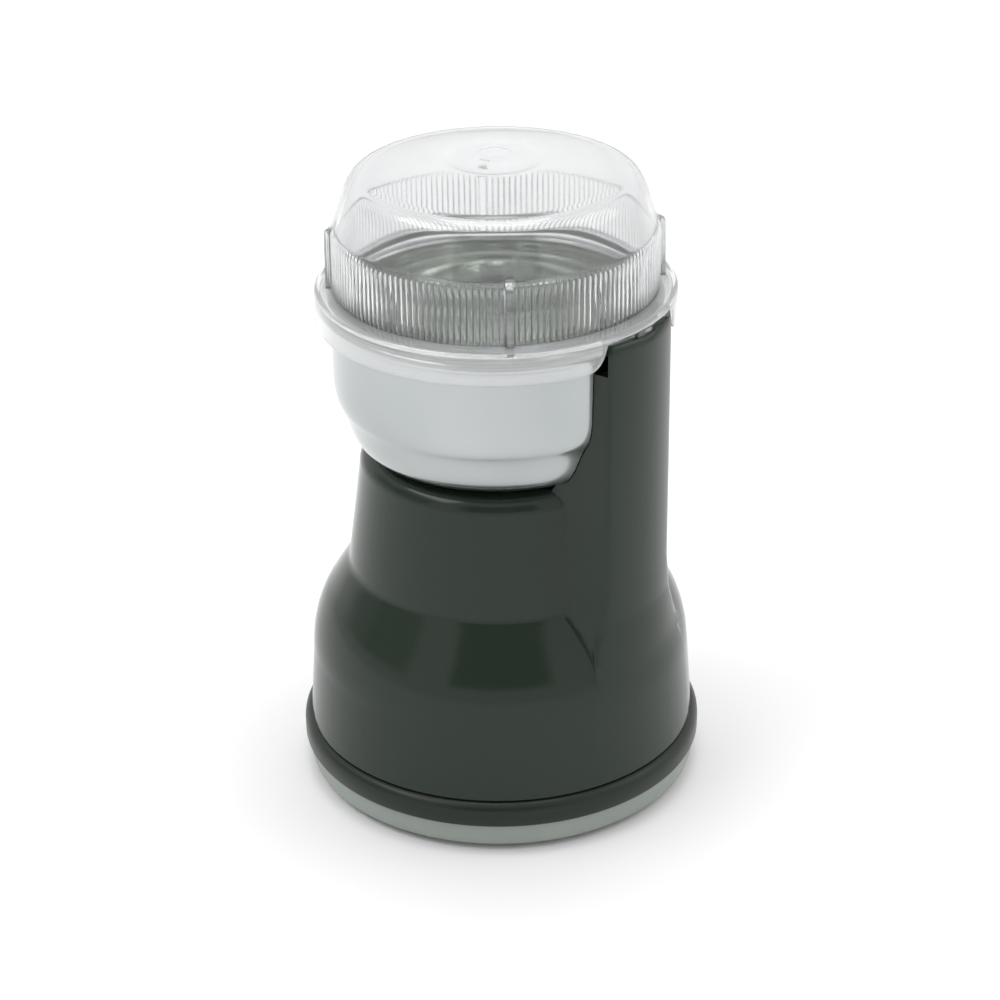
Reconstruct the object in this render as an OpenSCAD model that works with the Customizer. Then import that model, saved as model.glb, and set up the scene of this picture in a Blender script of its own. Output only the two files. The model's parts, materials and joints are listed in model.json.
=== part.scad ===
// Electric spice grinder: a bell-shaped motor housing with a side spine, a fixed steel bowl
// and a clear fluted lid that is pressed down to start the motor.
// Origin: centre of the resting face. +Z up. The spine stands at -Y, the cord gland at +Y.

/* [Base] */
// How far the rubber feet stand out below the base
foot_proud = 1.5; // [1:0.5:3]
// Radius of one rubber foot
foot_r = 5.5; // [4:0.5:7]
// Distance of the feet from the axis
foot_pitch_r = 37; // [32:1:40]
// Radius of the pale base
base_r = 50.9; // [49.5:0.1:51.5]
// Height of the pale base
base_h = 6.4; // [5:0.2:9]
// Wall of the pale base
base_wall = 2.2; // [1.6:0.2:3]
// Outer radius of the dark ring
ring_r = 52; // [51:0.5:55]
// Height of the dark ring
ring_h = 6.4; // [5:0.2:9]
// Radial width of the ring's lips inside the base and the housing
ring_wall = 2; // [1.5:0.1:3]
// Number of air slots in the floor
vent_count = 16; // [8:1:20]
// Width of one air slot
vent_w = 2.4; // [1.6:0.2:3.6]

/* [Housing] */
// Radius of the housing at the seam
seam_r = 50.2; // [48:0.1:50.6]
// Radius where the upright wall ends
shoulder_r = 48.8; // [47:0.1:50]
// Height of the upright wall above the seam
wall_h = 19.2; // [14:0.2:26]
// Height of the rounded shoulder
shoulder_h = 25.4; // [20:0.2:28]
// Radius at which the shoulder's curve would be level
shoulder_core_r = 30; // [28:0.5:34]
// Fullness of the shoulder curve
shoulder_power = 1.97; // [1.4:0.01:2.4]
// Radius at the root of the neck
neck_root_r = 38.6; // [38:0.1:41]
// Radius at the top of the neck
neck_top_r = 34.2; // [34:0.1:36]
// Height of the neck
neck_h = 31.7; // [28:0.1:36]
// Rounding of the neck's upper edge
neck_round = 4.9; // [2:0.1:6]
// Softness of the hollow between shoulder and neck
neck_fillet = 7; // [1:0.5:8]
// Wall of the housing
shell_wall = 2.2; // [1.6:0.1:2.8]
// Thickness of the deck under the bowl
deck_t = 2.5; // [2:0.1:4]

/* [Spine] */
// Half width of the spine's outer face
spine_half_w = 12.8; // [12:0.1:14]
// How far the spine stands out of the lid's skirt
spine_out = 2.4; // [2:0.1:4]
// Radius of the rounded face of the spine
spine_face_r = 24.3; // [22:0.1:30]
// Wall of the spine
spine_wall = 1.9; // [1.5:0.1:2.1]
// Height of the side notch below the spine's top
notch_h = 7.2; // [5:0.2:9]

/* [Bowl] */
// Outer radius of the bowl
bowl_r = 40.8; // [40:0.1:41]
// How far the rolled rim stands out of the bowl
rim_out = 1.8; // [1.2:0.1:2.2]
// Height of the rolled rim
rim_h = 1.6; // [1.3:0.1:2.4]
// Height of the bowl
bowl_h = 37.7; // [35:0.1:42]
// Height of the bowl's drawn-in foot
bowl_foot_h = 13.2; // [9:0.1:18]
// Sheet thickness of the bowl
bowl_wall = 0.8; // [0.6:0.1:1.2]
// Radius of the bowl's flat floor
bowl_floor_r = 31.8; // [28:0.1:34]
// Thickness of the gasket under the bowl
gasket_t = 1.6; // [1.2:0.1:2.4]

/* [Lid] */
// Room between the bowl's rim and the skirt
skirt_gap = 0.5; // [0.4:0.1:1]
// Height of the skirt below the ledge's top
skirt_h = 8.35; // [6:0.05:10]
// Wall of the lid
lid_wall = 1.5; // [1.2:0.1:1.5]
// Rounding of the skirt's corners beside the spine
skirt_corner_r = 5.8; // [3:0.2:6.4]
// How far the fluted collar stands in from the rim
collar_in = 2.4; // [1.8:0.1:3]
// Height of the fluted collar
collar_h = 14.9; // [12:0.1:18]
// Number of flutes round the collar
flute_count = 168; // [90:6:180]
// Depth of one flute
flute_depth = 0.45; // [0.2:0.05:0.6]
// How far the grip ribs stand out of the collar
rib_proud = 1.5; // [1:0.1:2]
// Width of one grip rib
rib_w = 2.4; // [1.6:0.1:4]
// Angle from the spine to the nearest grip rib
rib_turn = 48; // [40:1:50]
// Height of the dome above the collar
dome_h = 17.8; // [14:0.2:22]
// How far the dome draws in from the collar
dome_in = 3.3; // [2:0.1:5]
// Rise of the crown over its edge
crown_rise = 4.3; // [2:0.1:6]
// Radius of the gate disc on the crown
gate_r = 3.6; // [2.5:0.1:5]
// Radius of the ring step round the gate disc
gate_ring_r = 10.2; // [8:0.2:14]

/* [Switch] */
// How far the lid is pressed down
press_travel = 1; // [0.6:0.1:1.2]
// Width of the flat push rod
rod_w = 7; // [5:0.5:9]
// Thickness of the flat push rod
rod_t = 1.4; // [1.1:0.1:1.4]
// Radius of the rod's round stem
stem_r = 1.5; // [1:0.1:1.6]
// Width of the microswitch
switch_w = 19.8; // [18:0.1:20]
// Depth of the microswitch
switch_d = 6.4; // [5:0.1:6.6]
// Height of the microswitch
switch_h = 10.2; // [9:0.1:11]
// Mean radius of the return spring
spring_r = 2.5; // [2.3:0.1:2.8]
// Radius of the spring's wire
spring_wire_r = 0.35; // [0.25:0.05:0.4]
// Turns of the return spring
spring_turns = 5; // [4:1:7]

/* [Motor] */
// Radius of the shaft
shaft_r = 3; // [2.5:0.1:3.5]
// Radius of the threaded end of the shaft
thread_r = 2.5; // [2:0.1:2.5]
// Radius of the bearings
bearing_r = 5; // [4.5:0.1:5.4]
// Length of each bearing
bearing_h = 6.5; // [5:0.5:7]
// Radius of the upper bracket's hub
hub_r = 7.2; // [6.8:0.1:8]
// Height of the lamination stack
stack_h = 24; // [18:1:25]
// Width of the stator across the poles
stator_x = 50; // [46:1:52]
// Width of the stator across the yokes
stator_y = 44; // [42:1:46]
// Radius of the rotor
rotor_r = 14; // [12:0.5:14.5]
// Air gap between rotor and stator
air_gap = 0.6; // [0.4:0.1:1]
// Radius of the commutator
comm_r = 8; // [7:0.5:9]
// Number of commutator bars and rotor slots
slot_count = 12; // [8:1:16]
// Radius of the cooling fan
fan_r = 23; // [16:1:25]
// Number of fan blades
fan_blades = 9; // [6:1:14]
// Distance of the bracket screws from the axis
bracket_pitch_r = 26; // [24:0.5:27]

/* [Blade] */
// Radius swept by the blade's tips
blade_r = 29; // [22:0.5:30]
// Width of the blade at its middle
blade_w = 13; // [10:0.5:16]
// Thickness of the blade
blade_t = 1.5; // [1:0.1:2]
// Upward bend of one arm
blade_up = 18; // [8:1:22]
// Downward bend of the other arm
blade_down = 6; // [2:1:7]

/* [Clearances] */
// Gap between pieces that move past each other
free_gap = 0.3; // [0.25:0.05:0.4]
// Radial gap of a shaft in its bearing
shaft_gap = 0.03; // [0.02:0.01:0.08]
// Radial gap of a seated or screwed round piece
seat_gap = 0.02; // [0.01:0.01:0.05]

/* [Hidden] */
$fn = 96;
eps = 0.01;

// Heights of the main seats, from the resting face up
z_base = foot_proud;
z_floor = z_base + base_wall;
z_ring = z_base + base_h;
z_seam = z_ring + ring_h;
z_shoulder = z_seam + wall_h;
z_neck = z_shoulder + shoulder_h;
z_deck = z_neck + neck_h;
z_deck_low = z_deck - deck_t;
z_bowl = z_deck + gasket_t;
z_rim = z_bowl + bowl_h;
z_spine = z_rim + 0.7;
z_ledge_low = z_spine + press_travel + free_gap;
z_ledge = z_ledge_low + lid_wall;
z_collar = z_ledge + collar_h;
z_dome = z_collar + dome_h;

// Radii that follow the bowl's, from its rim out to the lid and the spine
rim_r = bowl_r + rim_out;
skirt_r = rim_r + skirt_gap + lid_wall;
collar_r = rim_r - collar_in;
dome_edge_r = collar_r - dome_in;
spine_reach = skirt_r + spine_out;

// Smooth joins and curves
function smax(a, b, k) = let (h = max(0, min(1, 0.5 + 0.5 * (a - b) / k)))
  b * (1 - h) + a * h + k * h * (1 - h);
function bez(a, b, c, d, t) = pow(1 - t, 3) * a + 3 * pow(1 - t, 2) * t * b
  + 3 * (1 - t) * t * t * c + pow(t, 3) * d;
function arc_pts(r, a0, a1, n) = [for (i = [0:n]) let (a = a0 + (a1 - a0) * i / n) [r * cos(a), r * sin(a)]];
function shifted(pts, d) = [for (p = pts) [p[0] + d, p[1]]];

// Radius of the housing at a height, from the seam to the top of the neck
function neck_line(z) = neck_root_r + (neck_top_r - neck_root_r) * (z - z_neck) / neck_h;
function shoulder_share(z) = min(1, (z - z_shoulder) / shoulder_h);
function shoulder_line(z) = shoulder_core_r + (shoulder_r - shoulder_core_r)
  * pow(max(0, 1 - pow(shoulder_share(z), shoulder_power)), 1 / shoulder_power);
function bell_r(z) = z <= z_shoulder ? seam_r + (shoulder_r - seam_r) * (z - z_seam) / wall_h
  : smax(shoulder_line(z), neck_line(z), max(eps, neck_fillet * shoulder_share(z)));
shoulder_steps = 18;
function bell_pts(d, z_end) = concat(
  [[bell_r(z_seam) - d, z_seam]],
  [for (i = [0:shoulder_steps]) let (z = z_shoulder + shoulder_h * i / shoulder_steps) [bell_r(z) - d, z]],
  [[bell_r(z_end) - d, z_end]]);
// Rounded upper edge of the neck, from its side to the deck
z_turn = z_deck - neck_round;
turn_steps = 6;
neck_turn = [for (p = arc_pts(neck_round, 0, 90, turn_steps))
  [bell_r(z_turn) - neck_round + p[0], z_turn + p[1]]];

module revolve(pts) { rotate_extrude() polygon(pts); }
module tube(r_out, r_in, h) {
  difference() {
    cylinder(r = r_out, h = h);
    translate([0, 0, -1]) cylinder(r = r_in, h = h + 2);
  }
}
module slab(x, y, z) { translate([-x / 2, -y / 2, 0]) cube([x, y, z]); }
module around(n, r, a0 = 0) {
  for (i = [0:n - 1]) rotate([0, 0, a0 + 360 * i / n]) translate([r, 0, 0]) children();
}

// Round wire or tube swept along points, closed with flat ends
function unit(v) = v / norm(v);
function tangent(p, i) = unit(p[min(i + 1, len(p) - 1)] - p[max(i - 1, 0)]);
function side_of(t) = unit(cross(t, abs(t[2]) < 0.8 ? [0, 0, 1] : [1, 0, 0]));
module sweep(p, r, sides = 8) {
  pts = [for (i = [0:len(p) - 1]) let (t = tangent(p, i), u = side_of(t), v = cross(t, u))
    for (k = [0:sides - 1]) p[i] + r * (cos(360 * k / sides) * u + sin(360 * k / sides) * v)];
  rings = len(p);
  faces = concat(
    [for (k = [1:sides - 2]) [0, k, k + 1]],
    [for (i = [0:rings - 2]) for (k = [0:sides - 1])
      let (a = i * sides + k, b = i * sides + (k + 1) % sides)
      for (f = [[a, b + sides, b], [a, a + sides, b + sides]]) f],
    [for (k = [1:sides - 2]) [(rings - 1) * sides, (rings - 1) * sides + k + 1, (rings - 1) * sides + k]]);
  polyhedron(points = pts, faces = faces, convexity = 8);
}
coil_steps = 14;
function coil_pts(r, h, turns) = [for (i = [0:turns * coil_steps])
  [r * cos(360 * i / coil_steps), r * sin(360 * i / coil_steps), h * i / (turns * coil_steps)]];

// ---------- base ----------
base_screw_a = 30;
screw_r = 1.5;
screw_head_r = 2.9;
screw_head_h = 2.2;
head_recess = 2.6;
post_r = 4.4;
post_top = z_seam + 1.5;
shell_boss_h = 14;
rib_low = z_seam + 3.6;
foot_recess = 0.7;
foot_stud_r = 2.2;
foot_stud_h = 2.4;
ring_inner_r = min(seam_r - shell_wall, base_r - base_wall) - ring_wall;
ring_lip_h = 3;
post_gap = 0.6;
base_screw_r = ring_inner_r - post_r - post_gap;
base_screw_l = 9.6;
vent_start = 11;
vent_l = 11;
module foot_places() { around(4, foot_pitch_r, 45) children(); }
module base_screw_places() { around(3, base_screw_r, base_screw_a) children(); }

module base_plate() {
  color([0.62, 0.65, 0.62])
  difference() {
    union() {
      revolve([[0, z_base], [base_r - 1.2, z_base], [base_r - 0.5, z_base + 0.6], [base_r - 0.2, z_base + 1.7],
        [base_r, z_ring - 1], [base_r, z_ring], [base_r - base_wall, z_ring], [base_r - base_wall, z_floor],
        [0, z_floor]]);
      base_screw_places() translate([0, 0, z_base + eps]) cylinder(r = post_r, h = post_top - z_base - eps);
      foot_places() translate([0, 0, z_base + eps]) cylinder(r = foot_r + 1.2, h = base_wall + 0.8);
    }
    base_screw_places() {
      translate([0, 0, z_base - 1]) cylinder(r = screw_head_r + 0.2, h = head_recess + 1 + screw_head_h);
      cylinder(r = screw_r + seat_gap, h = post_top + 1);
    }
    foot_places() {
      translate([0, 0, z_base - 1]) cylinder(r = foot_r + seat_gap, h = foot_recess + 1);
      cylinder(r = foot_stud_r + seat_gap, h = z_floor + 2);
    }
    for (i = [0:vent_count - 1]) rotate([0, 0, 360 * (i + 0.5) / vent_count])
      translate([vent_start, -vent_w / 2, z_base - 1]) cube([vent_l, vent_w, base_wall + 2]);
  }
}

module base_ring() {
  color([0.20, 0.22, 0.20])
  revolve([[ring_inner_r, z_ring - 1.5], [base_r - base_wall - seat_gap, z_ring - 1.5],
    [base_r - base_wall - seat_gap, z_ring], [ring_r - 0.5, z_ring], [ring_r, z_ring + 0.6],
    [ring_r, z_seam - 2.2], [ring_r - 0.35, z_seam - 1], [ring_r - 1, z_seam - 0.3], [seam_r - 0.2, z_seam],
    [seam_r - shell_wall - seat_gap, z_seam], [seam_r - shell_wall - seat_gap - 0.3, z_seam + ring_lip_h],
    [ring_inner_r, z_seam + ring_lip_h]]);
}

module feet() {
  color([0.10, 0.10, 0.10])
  foot_places() revolve([[0, 0], [foot_r - 0.5, 0], [foot_r, 0.5], [foot_r, z_base + foot_recess],
    [foot_stud_r, z_base + foot_recess], [foot_stud_r, z_base + foot_recess + foot_stud_h],
    [0, z_base + foot_recess + foot_stud_h]]);
}

module base_screws() {
  color([0.55, 0.56, 0.57])
  base_screw_places() difference() {
    union() {
      translate([0, 0, z_base + head_recess]) cylinder(r = screw_head_r, h = screw_head_h);
      translate([0, 0, z_base + head_recess])
        cylinder(r = screw_r, h = post_top + base_screw_l - 0.6 - z_base - head_recess);
    }
    for (a = [0, 90]) rotate([0, 0, a]) translate([-1.9, -0.4, 0]) cube([3.8, 0.8, z_base + head_recess + 1.2]);
  }
}

// ---------- housing ----------
spine_root_y = 27;
spine_low_z = z_shoulder - 3.5;
spine_flare_z = z_neck - 11.9;
spine_bend_z = z_neck - 1.9;
spine_mid_z = z_neck + 7.1;
spine_upper_z = z_neck + 26;
// Spine stations: height, half width outside, half width at the root, reach, face radius
spine_stations = [
  [z_spine, spine_half_w, spine_half_w + 0.1, spine_reach, spine_face_r],
  [spine_upper_z, spine_half_w + 0.4, spine_half_w + 3.1, spine_reach, spine_face_r + 0.3],
  [spine_mid_z, spine_half_w + 0.7, spine_half_w + 6.3, spine_reach + 0.1, spine_face_r + 0.5],
  [spine_bend_z, spine_half_w + 2.5, spine_half_w + 7.5, spine_reach + 0.2, spine_face_r + 3.2],
  [spine_flare_z, spine_half_w + 4.8, spine_half_w + 5, spine_reach + 0.6, spine_face_r + 11.7],
  [spine_low_z, spine_half_w + 7.2, spine_half_w + 7.2, shoulder_r - 0.4, spine_face_r + 23.7]];
face_steps = 10;
module spine_slice(s, inset, z) {
  face_r = s[4] - inset;
  half = s[1] - inset;
  span = asin(half / face_r);
  arc = [for (i = [0:face_steps]) let (a = -span + 2 * span * i / face_steps)
    [face_r * sin(a), -(s[3] - s[4]) - face_r * cos(a)]];
  translate([0, 0, z]) linear_extrude(height = eps)
    polygon(concat([[-(s[2] - inset), -spine_root_y]], arc, [[s[2] - inset, -spine_root_y]]));
}
module spine_outer() {
  hull() {
    spine_slice(spine_stations[0], 0.5, z_spine - eps);
    spine_slice(spine_stations[0], 0, z_spine - 0.6);
    spine_slice(spine_stations[1], 0, spine_upper_z);
  }
  for (i = [1:4]) hull() {
    spine_slice(spine_stations[i], 0, spine_stations[i][0]);
    spine_slice(spine_stations[i + 1], 0, spine_stations[i + 1][0]);
  }
}
spine_roof_t = 2;
// hollow for the switch and its wires, down to where the housing's own room takes over
flank_extra = 0.8;
function narrowed(s) = [s[0], s[1] - flank_extra, s[2] - flank_extra, s[3], s[4]];
module spine_inner() {
  hull() {
    spine_slice(spine_stations[0], spine_wall, z_spine - spine_roof_t);
    spine_slice(narrowed(spine_stations[2]), spine_wall, spine_mid_z);
  }
  hull() {
    spine_slice(narrowed(spine_stations[2]), spine_wall, spine_mid_z);
    spine_slice(narrowed(spine_stations[4]), spine_wall, spine_flare_z);
  }
}

// Bowl profile, outside, from the floor up to the straight wall
bowl_waist_r = bowl_r - 0.7;
bowl_waist_z = z_bowl + bowl_foot_h;
bowl_straight_z = bowl_waist_z + 3.4;
curve_steps = 12;
bowl_foot = [for (i = [0:curve_steps]) let (t = i / curve_steps)
  [bez(bowl_floor_r, bowl_floor_r + 5.6, bowl_waist_r - 3.4, bowl_waist_r, t),
   bez(z_bowl, z_bowl, bowl_waist_z - 5.7, bowl_waist_z, t)]];
bowl_out = concat(bowl_foot, [[bowl_r - 0.25, bowl_waist_z + 1.6], [bowl_r, bowl_straight_z]]);
bowl_gap = 0.4;
hub_hole_r = hub_r + 0.4;

rod_y = -(rim_r + 0.5 + rod_t / 2);
stem_y = rod_y + 2.6;
shelf_z = z_deck - 8.6;
shelf_t = 2.5;
lug_w = rod_w - 1;
switch_top = shelf_z - 7.8;
switch_y = -(spine_reach - 8.0);
toe_y = switch_y + 2;
switch_screw_x = 4.75;
switch_screw_z = switch_top - switch_h + 3;
switch_screw_r = 1;
switch_boss_r = 2.6;
gland_z = z_seam + 9;
gland_r = 4.6;
gland_bore_r = 3.1;
gland_flange_r = gland_r + 1.3;
gland_flange_t = 1.2;
gland_run = 3;
gland_y = bell_r(gland_z) - shell_wall - 1.8;
bracket_screw_r = 1.7;
module bracket_screw_places() { around(3, bracket_pitch_r, 30) children(); }
side_room = 60;

module body_shell() {
  color([0.22, 0.25, 0.23])
  difference() {
    union() {
      difference() {
        union() {
          revolve(concat([[0, z_seam]], bell_pts(0, z_turn - eps), neck_turn, [[0, z_deck]]));
          spine_outer();
        }
        // motor room below the deck
        revolve(concat([[0, z_seam - 1], [seam_r - shell_wall, z_seam - 1]], bell_pts(shell_wall, z_deck_low),
          [[0, z_deck_low]]));
        // hollow of the spine, kept clear of the deck and the rod's shelf
        difference() {
          spine_inner();
          translate([0, 0, z_deck_low]) cylinder(r = neck_top_r, h = deck_t);
          translate([-side_room / 2, -side_room, shelf_z]) cube([side_room, side_room, shelf_t]);
        }
        // room round the bowl and its rim
        revolve(concat([[0, z_deck], [bowl_floor_r + bowl_gap, z_deck]],
          [for (p = shifted(bowl_out, bowl_gap)) if (p[1] > z_bowl + eps) p],
          [[bowl_r + bowl_gap, z_rim - rim_h - 1.2], [rim_r + free_gap, z_rim - rim_h - 0.4],
           [rim_r + free_gap, z_spine + 1], [0, z_spine + 1]]));
      }
      base_screw_places() {
        translate([0, 0, post_top]) cylinder(r = post_r - 0.6, h = shell_boss_h);
        translate([0, -1, rib_low]) cube([seam_r - base_screw_r - 1.2, 2, post_top + shell_boss_h - rib_low]);
      }
      for (s = [-1, 1]) translate([s * switch_screw_x, switch_y - switch_d / 2, switch_screw_z])
        rotate([90, 0, 0])
          cylinder(r = switch_boss_r, h = spine_reach - spine_wall + switch_y - switch_d / 2 + 0.4);
    }
    base_screw_places() cylinder(r = screw_r + seat_gap, h = post_top + base_screw_l);
    for (s = [-1, 1]) translate([s * switch_screw_x, switch_y, switch_screw_z])
      rotate([90, 0, 0]) cylinder(r = switch_screw_r + seat_gap, h = switch_d / 2 + 2.2);
    // hub hole and bracket screw holes in the deck
    translate([0, 0, z_deck_low - 1]) cylinder(r = hub_hole_r, h = deck_t + 2);
    bracket_screw_places() translate([0, 0, z_deck_low - 1])
      cylinder(r = bracket_screw_r + seat_gap, h = deck_t + 2);
    // stem guide, lug slot, side notch and cord gland hole
    translate([-stem_r - free_gap, stem_y - stem_r - free_gap, shelf_z - 1])
      cube([2 * (stem_r + free_gap), toe_y - stem_y + stem_r + 2 * free_gap, shelf_t + 2]);
    translate([-lug_w / 2 - free_gap, rod_y - rod_t / 2 - free_gap, z_spine - spine_roof_t - 1])
      cube([lug_w + 2 * free_gap, rod_t + 4, spine_roof_t + 2]);
    translate([-spine_half_w - 1, -(spine_reach - spine_wall - 2.4), z_spine - notch_h])
      cube([4, 8, notch_h - spine_roof_t + 0.2]);
    translate([0, gland_y, gland_z]) rotate([-90, 0, 0]) {
      cylinder(r = gland_r + seat_gap, h = gland_flange_t + shell_wall + gland_run);
      cylinder(r = gland_flange_r + free_gap, h = gland_flange_t);
    }
  }
}

module cord_gland() {
  color([0.08, 0.08, 0.08])
  translate([0, gland_y, gland_z]) rotate([-90, 0, 0]) difference() {
    union() {
      cylinder(r = gland_r, h = shell_wall + gland_run);
      cylinder(r = gland_flange_r, h = gland_flange_t);
      translate([0, 0, shell_wall + gland_run - 0.7])
        cylinder(r = gland_flange_r - 0.1, h = gland_flange_t);
    }
    translate([0, 0, -1]) cylinder(r = gland_bore_r, h = shell_wall + gland_run + 3);
  }
}

// ---------- bowl ----------
module bowl() {
  inner = [for (p = shifted(bowl_out, -bowl_wall)) [p[0], max(p[1] + bowl_wall * 0.9, z_bowl + bowl_wall)]];
  color([0.80, 0.81, 0.80])
  difference() {
    revolve(concat([[0, z_bowl]], bowl_out,
      [[bowl_r, z_rim - rim_h - 0.8], [rim_r - 0.5, z_rim - rim_h], [rim_r, z_rim - rim_h + 0.5],
       [rim_r, z_rim - 0.7], [rim_r - 0.6, z_rim], [bowl_r - 0.2, z_rim], [bowl_r - bowl_wall, z_rim - 0.8]],
      [for (i = [len(inner) - 1:-1:0]) inner[i]], [[0, z_bowl + bowl_wall]]));
    translate([0, 0, z_bowl - 1]) cylinder(r = hub_r + 0.1, h = bowl_wall + 2);
  }
}
gasket_r = bracket_pitch_r - bracket_screw_r - 2.3;
module bowl_gasket() {
  color([0.12, 0.12, 0.12]) translate([0, 0, z_deck]) tube(gasket_r, hub_r + 3, gasket_t);
}
nut_h = 3;
hub_top = z_bowl + bowl_wall + nut_h + 2;
module bowl_nut() {
  color([0.72, 0.60, 0.32]) translate([0, 0, z_bowl + bowl_wall]) difference() {
    cylinder(r = hub_r + 4, h = nut_h, $fn = 6);
    translate([0, 0, -1]) cylinder(r = hub_r + seat_gap, h = nut_h + 2);
  }
}
seal_h = 4.6;
module shaft_seal() {
  color([0.14, 0.10, 0.08]) translate([0, 0, hub_top - seal_h - 0.3]) tube(bearing_r, shaft_r + shaft_gap, seal_h);
}

// ---------- motor ----------
mount_h = 4;
plate_t = 2;
z_plate = z_deck_low - mount_h - plate_t;
tie_post_h = 11;
z_stack = z_plate - tie_post_h - stack_h;
fan_h = 4.6;
lower_t = 2.5;
tie_r = 1.6;
tie_y = stator_y / 2 - 2.6;
tie_head_r = 3;
tie_head_h = 2.4;
leg_w = 7;
leg_t = 2.2;
leg_y = rotor_r - 0.1;
winding_h = 5.5;
comm_h = 11;
z_comm = z_stack - winding_h - 1 - comm_h;
z_lower = z_comm - 5.4;
z_fan = z_lower - 2.6 - fan_h;
holder_w = 7.4;
holder_h = 6.4;
brush_w = 5;
brush_h = 4;
brush_l = 9.5;
z_brush = z_comm + comm_h / 2;
holder_x0 = comm_r + 1.2;
holder_l = 13.5;
holder_x1 = holder_x0 + holder_l;
pedestal_l = 6.5;
brush_x0 = comm_r + free_gap;
shoe_t = 2.2;
yoke_x = 6;
yoke_y = 5;
pole_half = 9;
shoe_half = 13;

plate_r = bracket_pitch_r - 4;
ear_r = 5.2;
mount_r = 4.6;
tie_post_r = 3.6;
tie_grip = 9;
module tie_places() { for (s = [-1, 1]) translate([0, s * tie_y, 0]) children(); }
module upper_bracket() {
  color([0.70, 0.71, 0.72])
  difference() {
    union() {
      translate([0, 0, z_plate]) linear_extrude(height = plate_t) union() {
        circle(r = plate_r);
        bracket_screw_places() circle(r = ear_r);
      }
      translate([0, 0, z_plate - 2]) cylinder(r = hub_r, h = hub_top - z_plate + 2);
      tie_places() translate([0, 0, z_stack + stack_h]) cylinder(r = tie_post_r, h = tie_post_h + 1);
    }
    translate([0, 0, z_plate - 3]) cylinder(r = bearing_r + seat_gap, h = hub_top - z_plate + 4);
    bracket_screw_places() translate([0, 0, z_plate - 1])
      cylinder(r = bracket_screw_r + seat_gap, h = plate_t + 2);
    tie_places() translate([0, 0, z_stack + stack_h - 1]) cylinder(r = tie_r + seat_gap, h = tie_grip + 1);
  }
}
module upper_bearing() {
  color([0.70, 0.52, 0.28]) translate([0, 0, z_plate - 1]) tube(bearing_r, shaft_r + shaft_gap, bearing_h);
}
module bracket_screws() {
  color([0.55, 0.56, 0.57])
  bracket_screw_places() union() {
    translate([0, 0, z_plate - 2.2]) cylinder(r = 2.9, h = 2.2);
    translate([0, 0, z_plate - 1]) cylinder(r = bracket_screw_r, h = plate_t + mount_h + deck_t + 0.7);
  }
}
module rubber_mounts() {
  color([0.10, 0.10, 0.10])
  bracket_screw_places() translate([0, 0, z_plate + plate_t]) difference() {
    cylinder(r = mount_r, h = mount_h);
    translate([0, 0, -1]) cylinder(r = bracket_screw_r + seat_gap, h = mount_h + 2);
    translate([0, 0, mount_h / 2 - 0.6]) tube(mount_r + 1, mount_r - 1, 1.2);
  }
}

module stator_outline() {
  difference() {
    intersection() {
      square([stator_x, stator_y], center = true);
      circle(r = stator_x / 2 + 6.5);
    }
    difference() {
      square([stator_x - 2 * yoke_x, stator_y - 2 * yoke_y], center = true);
      difference() {
        union() {
          square([stator_x, 2 * pole_half], center = true);
          intersection() {
            circle(r = rotor_r + air_gap + shoe_t);
            square([stator_x, 2 * shoe_half], center = true);
          }
        }
        square([8, stator_y], center = true);
      }
    }
    circle(r = rotor_r + air_gap);
    tie_places() circle(r = tie_r + seat_gap);
  }
}
module stator_core() {
  color([0.45, 0.45, 0.46]) translate([0, 0, z_stack]) linear_extrude(height = stack_h) stator_outline();
}
coil_side = 6.2;
coil_x0 = rotor_r + air_gap + 0.9;
coil_x1 = stator_x / 2 - yoke_x - 0.25;
module field_coils() {
  color([0.72, 0.38, 0.16])
  for (s = [-1, 1]) translate([s > 0 ? coil_x0 : -coil_x1, 0, z_stack + stack_h / 2])
    rotate([90, 0, 90]) linear_extrude(height = coil_x1 - coil_x0) difference() {
      intersection() {
        square([2 * (pole_half + 0.25 + coil_side), stack_h + 2 * coil_side - 1], center = true);
        circle(r = norm([pole_half + coil_side, stack_h / 2 + coil_side]) - 2.2);
      }
      square([2 * (pole_half + 0.25), stack_h + 0.5], center = true);
    }
}
module motor_screws() {
  color([0.55, 0.56, 0.57])
  tie_places() union() {
    translate([0, 0, z_stack - lower_t - tie_head_h]) cylinder(r = tie_head_r, h = tie_head_h);
    translate([0, 0, z_stack - lower_t - 1]) cylinder(r = tie_r, h = stack_h + lower_t + tie_grip);
  }
}
module lower_bracket() {
  color([0.18, 0.18, 0.20])
  difference() {
    union() {
      translate([0, 0, z_lower]) linear_extrude(height = lower_t) union() {
        square([2 * leg_w, stator_y - 1], center = true);
        square([2 * holder_x1 - 3, holder_w], center = true);
        circle(r = 14);
      }
      translate([0, 0, z_lower - 1.5]) cylinder(r = bearing_r + 2, h = bearing_h);
      for (s = [-1, 1]) {
        // legs up to the stack
        translate([0, s * (leg_y + leg_t / 2), z_lower]) slab(2 * leg_w, leg_t, z_stack - z_lower);
        translate([0, s * (leg_y + tie_y + tie_head_r) / 2, z_stack - lower_t])
          slab(2 * leg_w, tie_y + tie_head_r - leg_y, lower_t);
        // pedestals under the brush holders
        translate([s > 0 ? holder_x1 - 1.5 - pedestal_l : -holder_x1 + 1.5, -holder_w / 2, z_lower])
          cube([pedestal_l, holder_w, z_brush - holder_h / 2 - z_lower]);
      }
    }
    translate([0, 0, z_lower - 3]) cylinder(r = bearing_r + seat_gap, h = bearing_h + 4);
    tie_places() translate([0, 0, z_stack - lower_t - 1]) cylinder(r = tie_r + seat_gap, h = lower_t + 2);
  }
}
module lower_bearing() {
  color([0.70, 0.52, 0.28]) translate([0, 0, z_lower - 1.5]) tube(bearing_r, shaft_r + shaft_gap, bearing_h);
}
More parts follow.
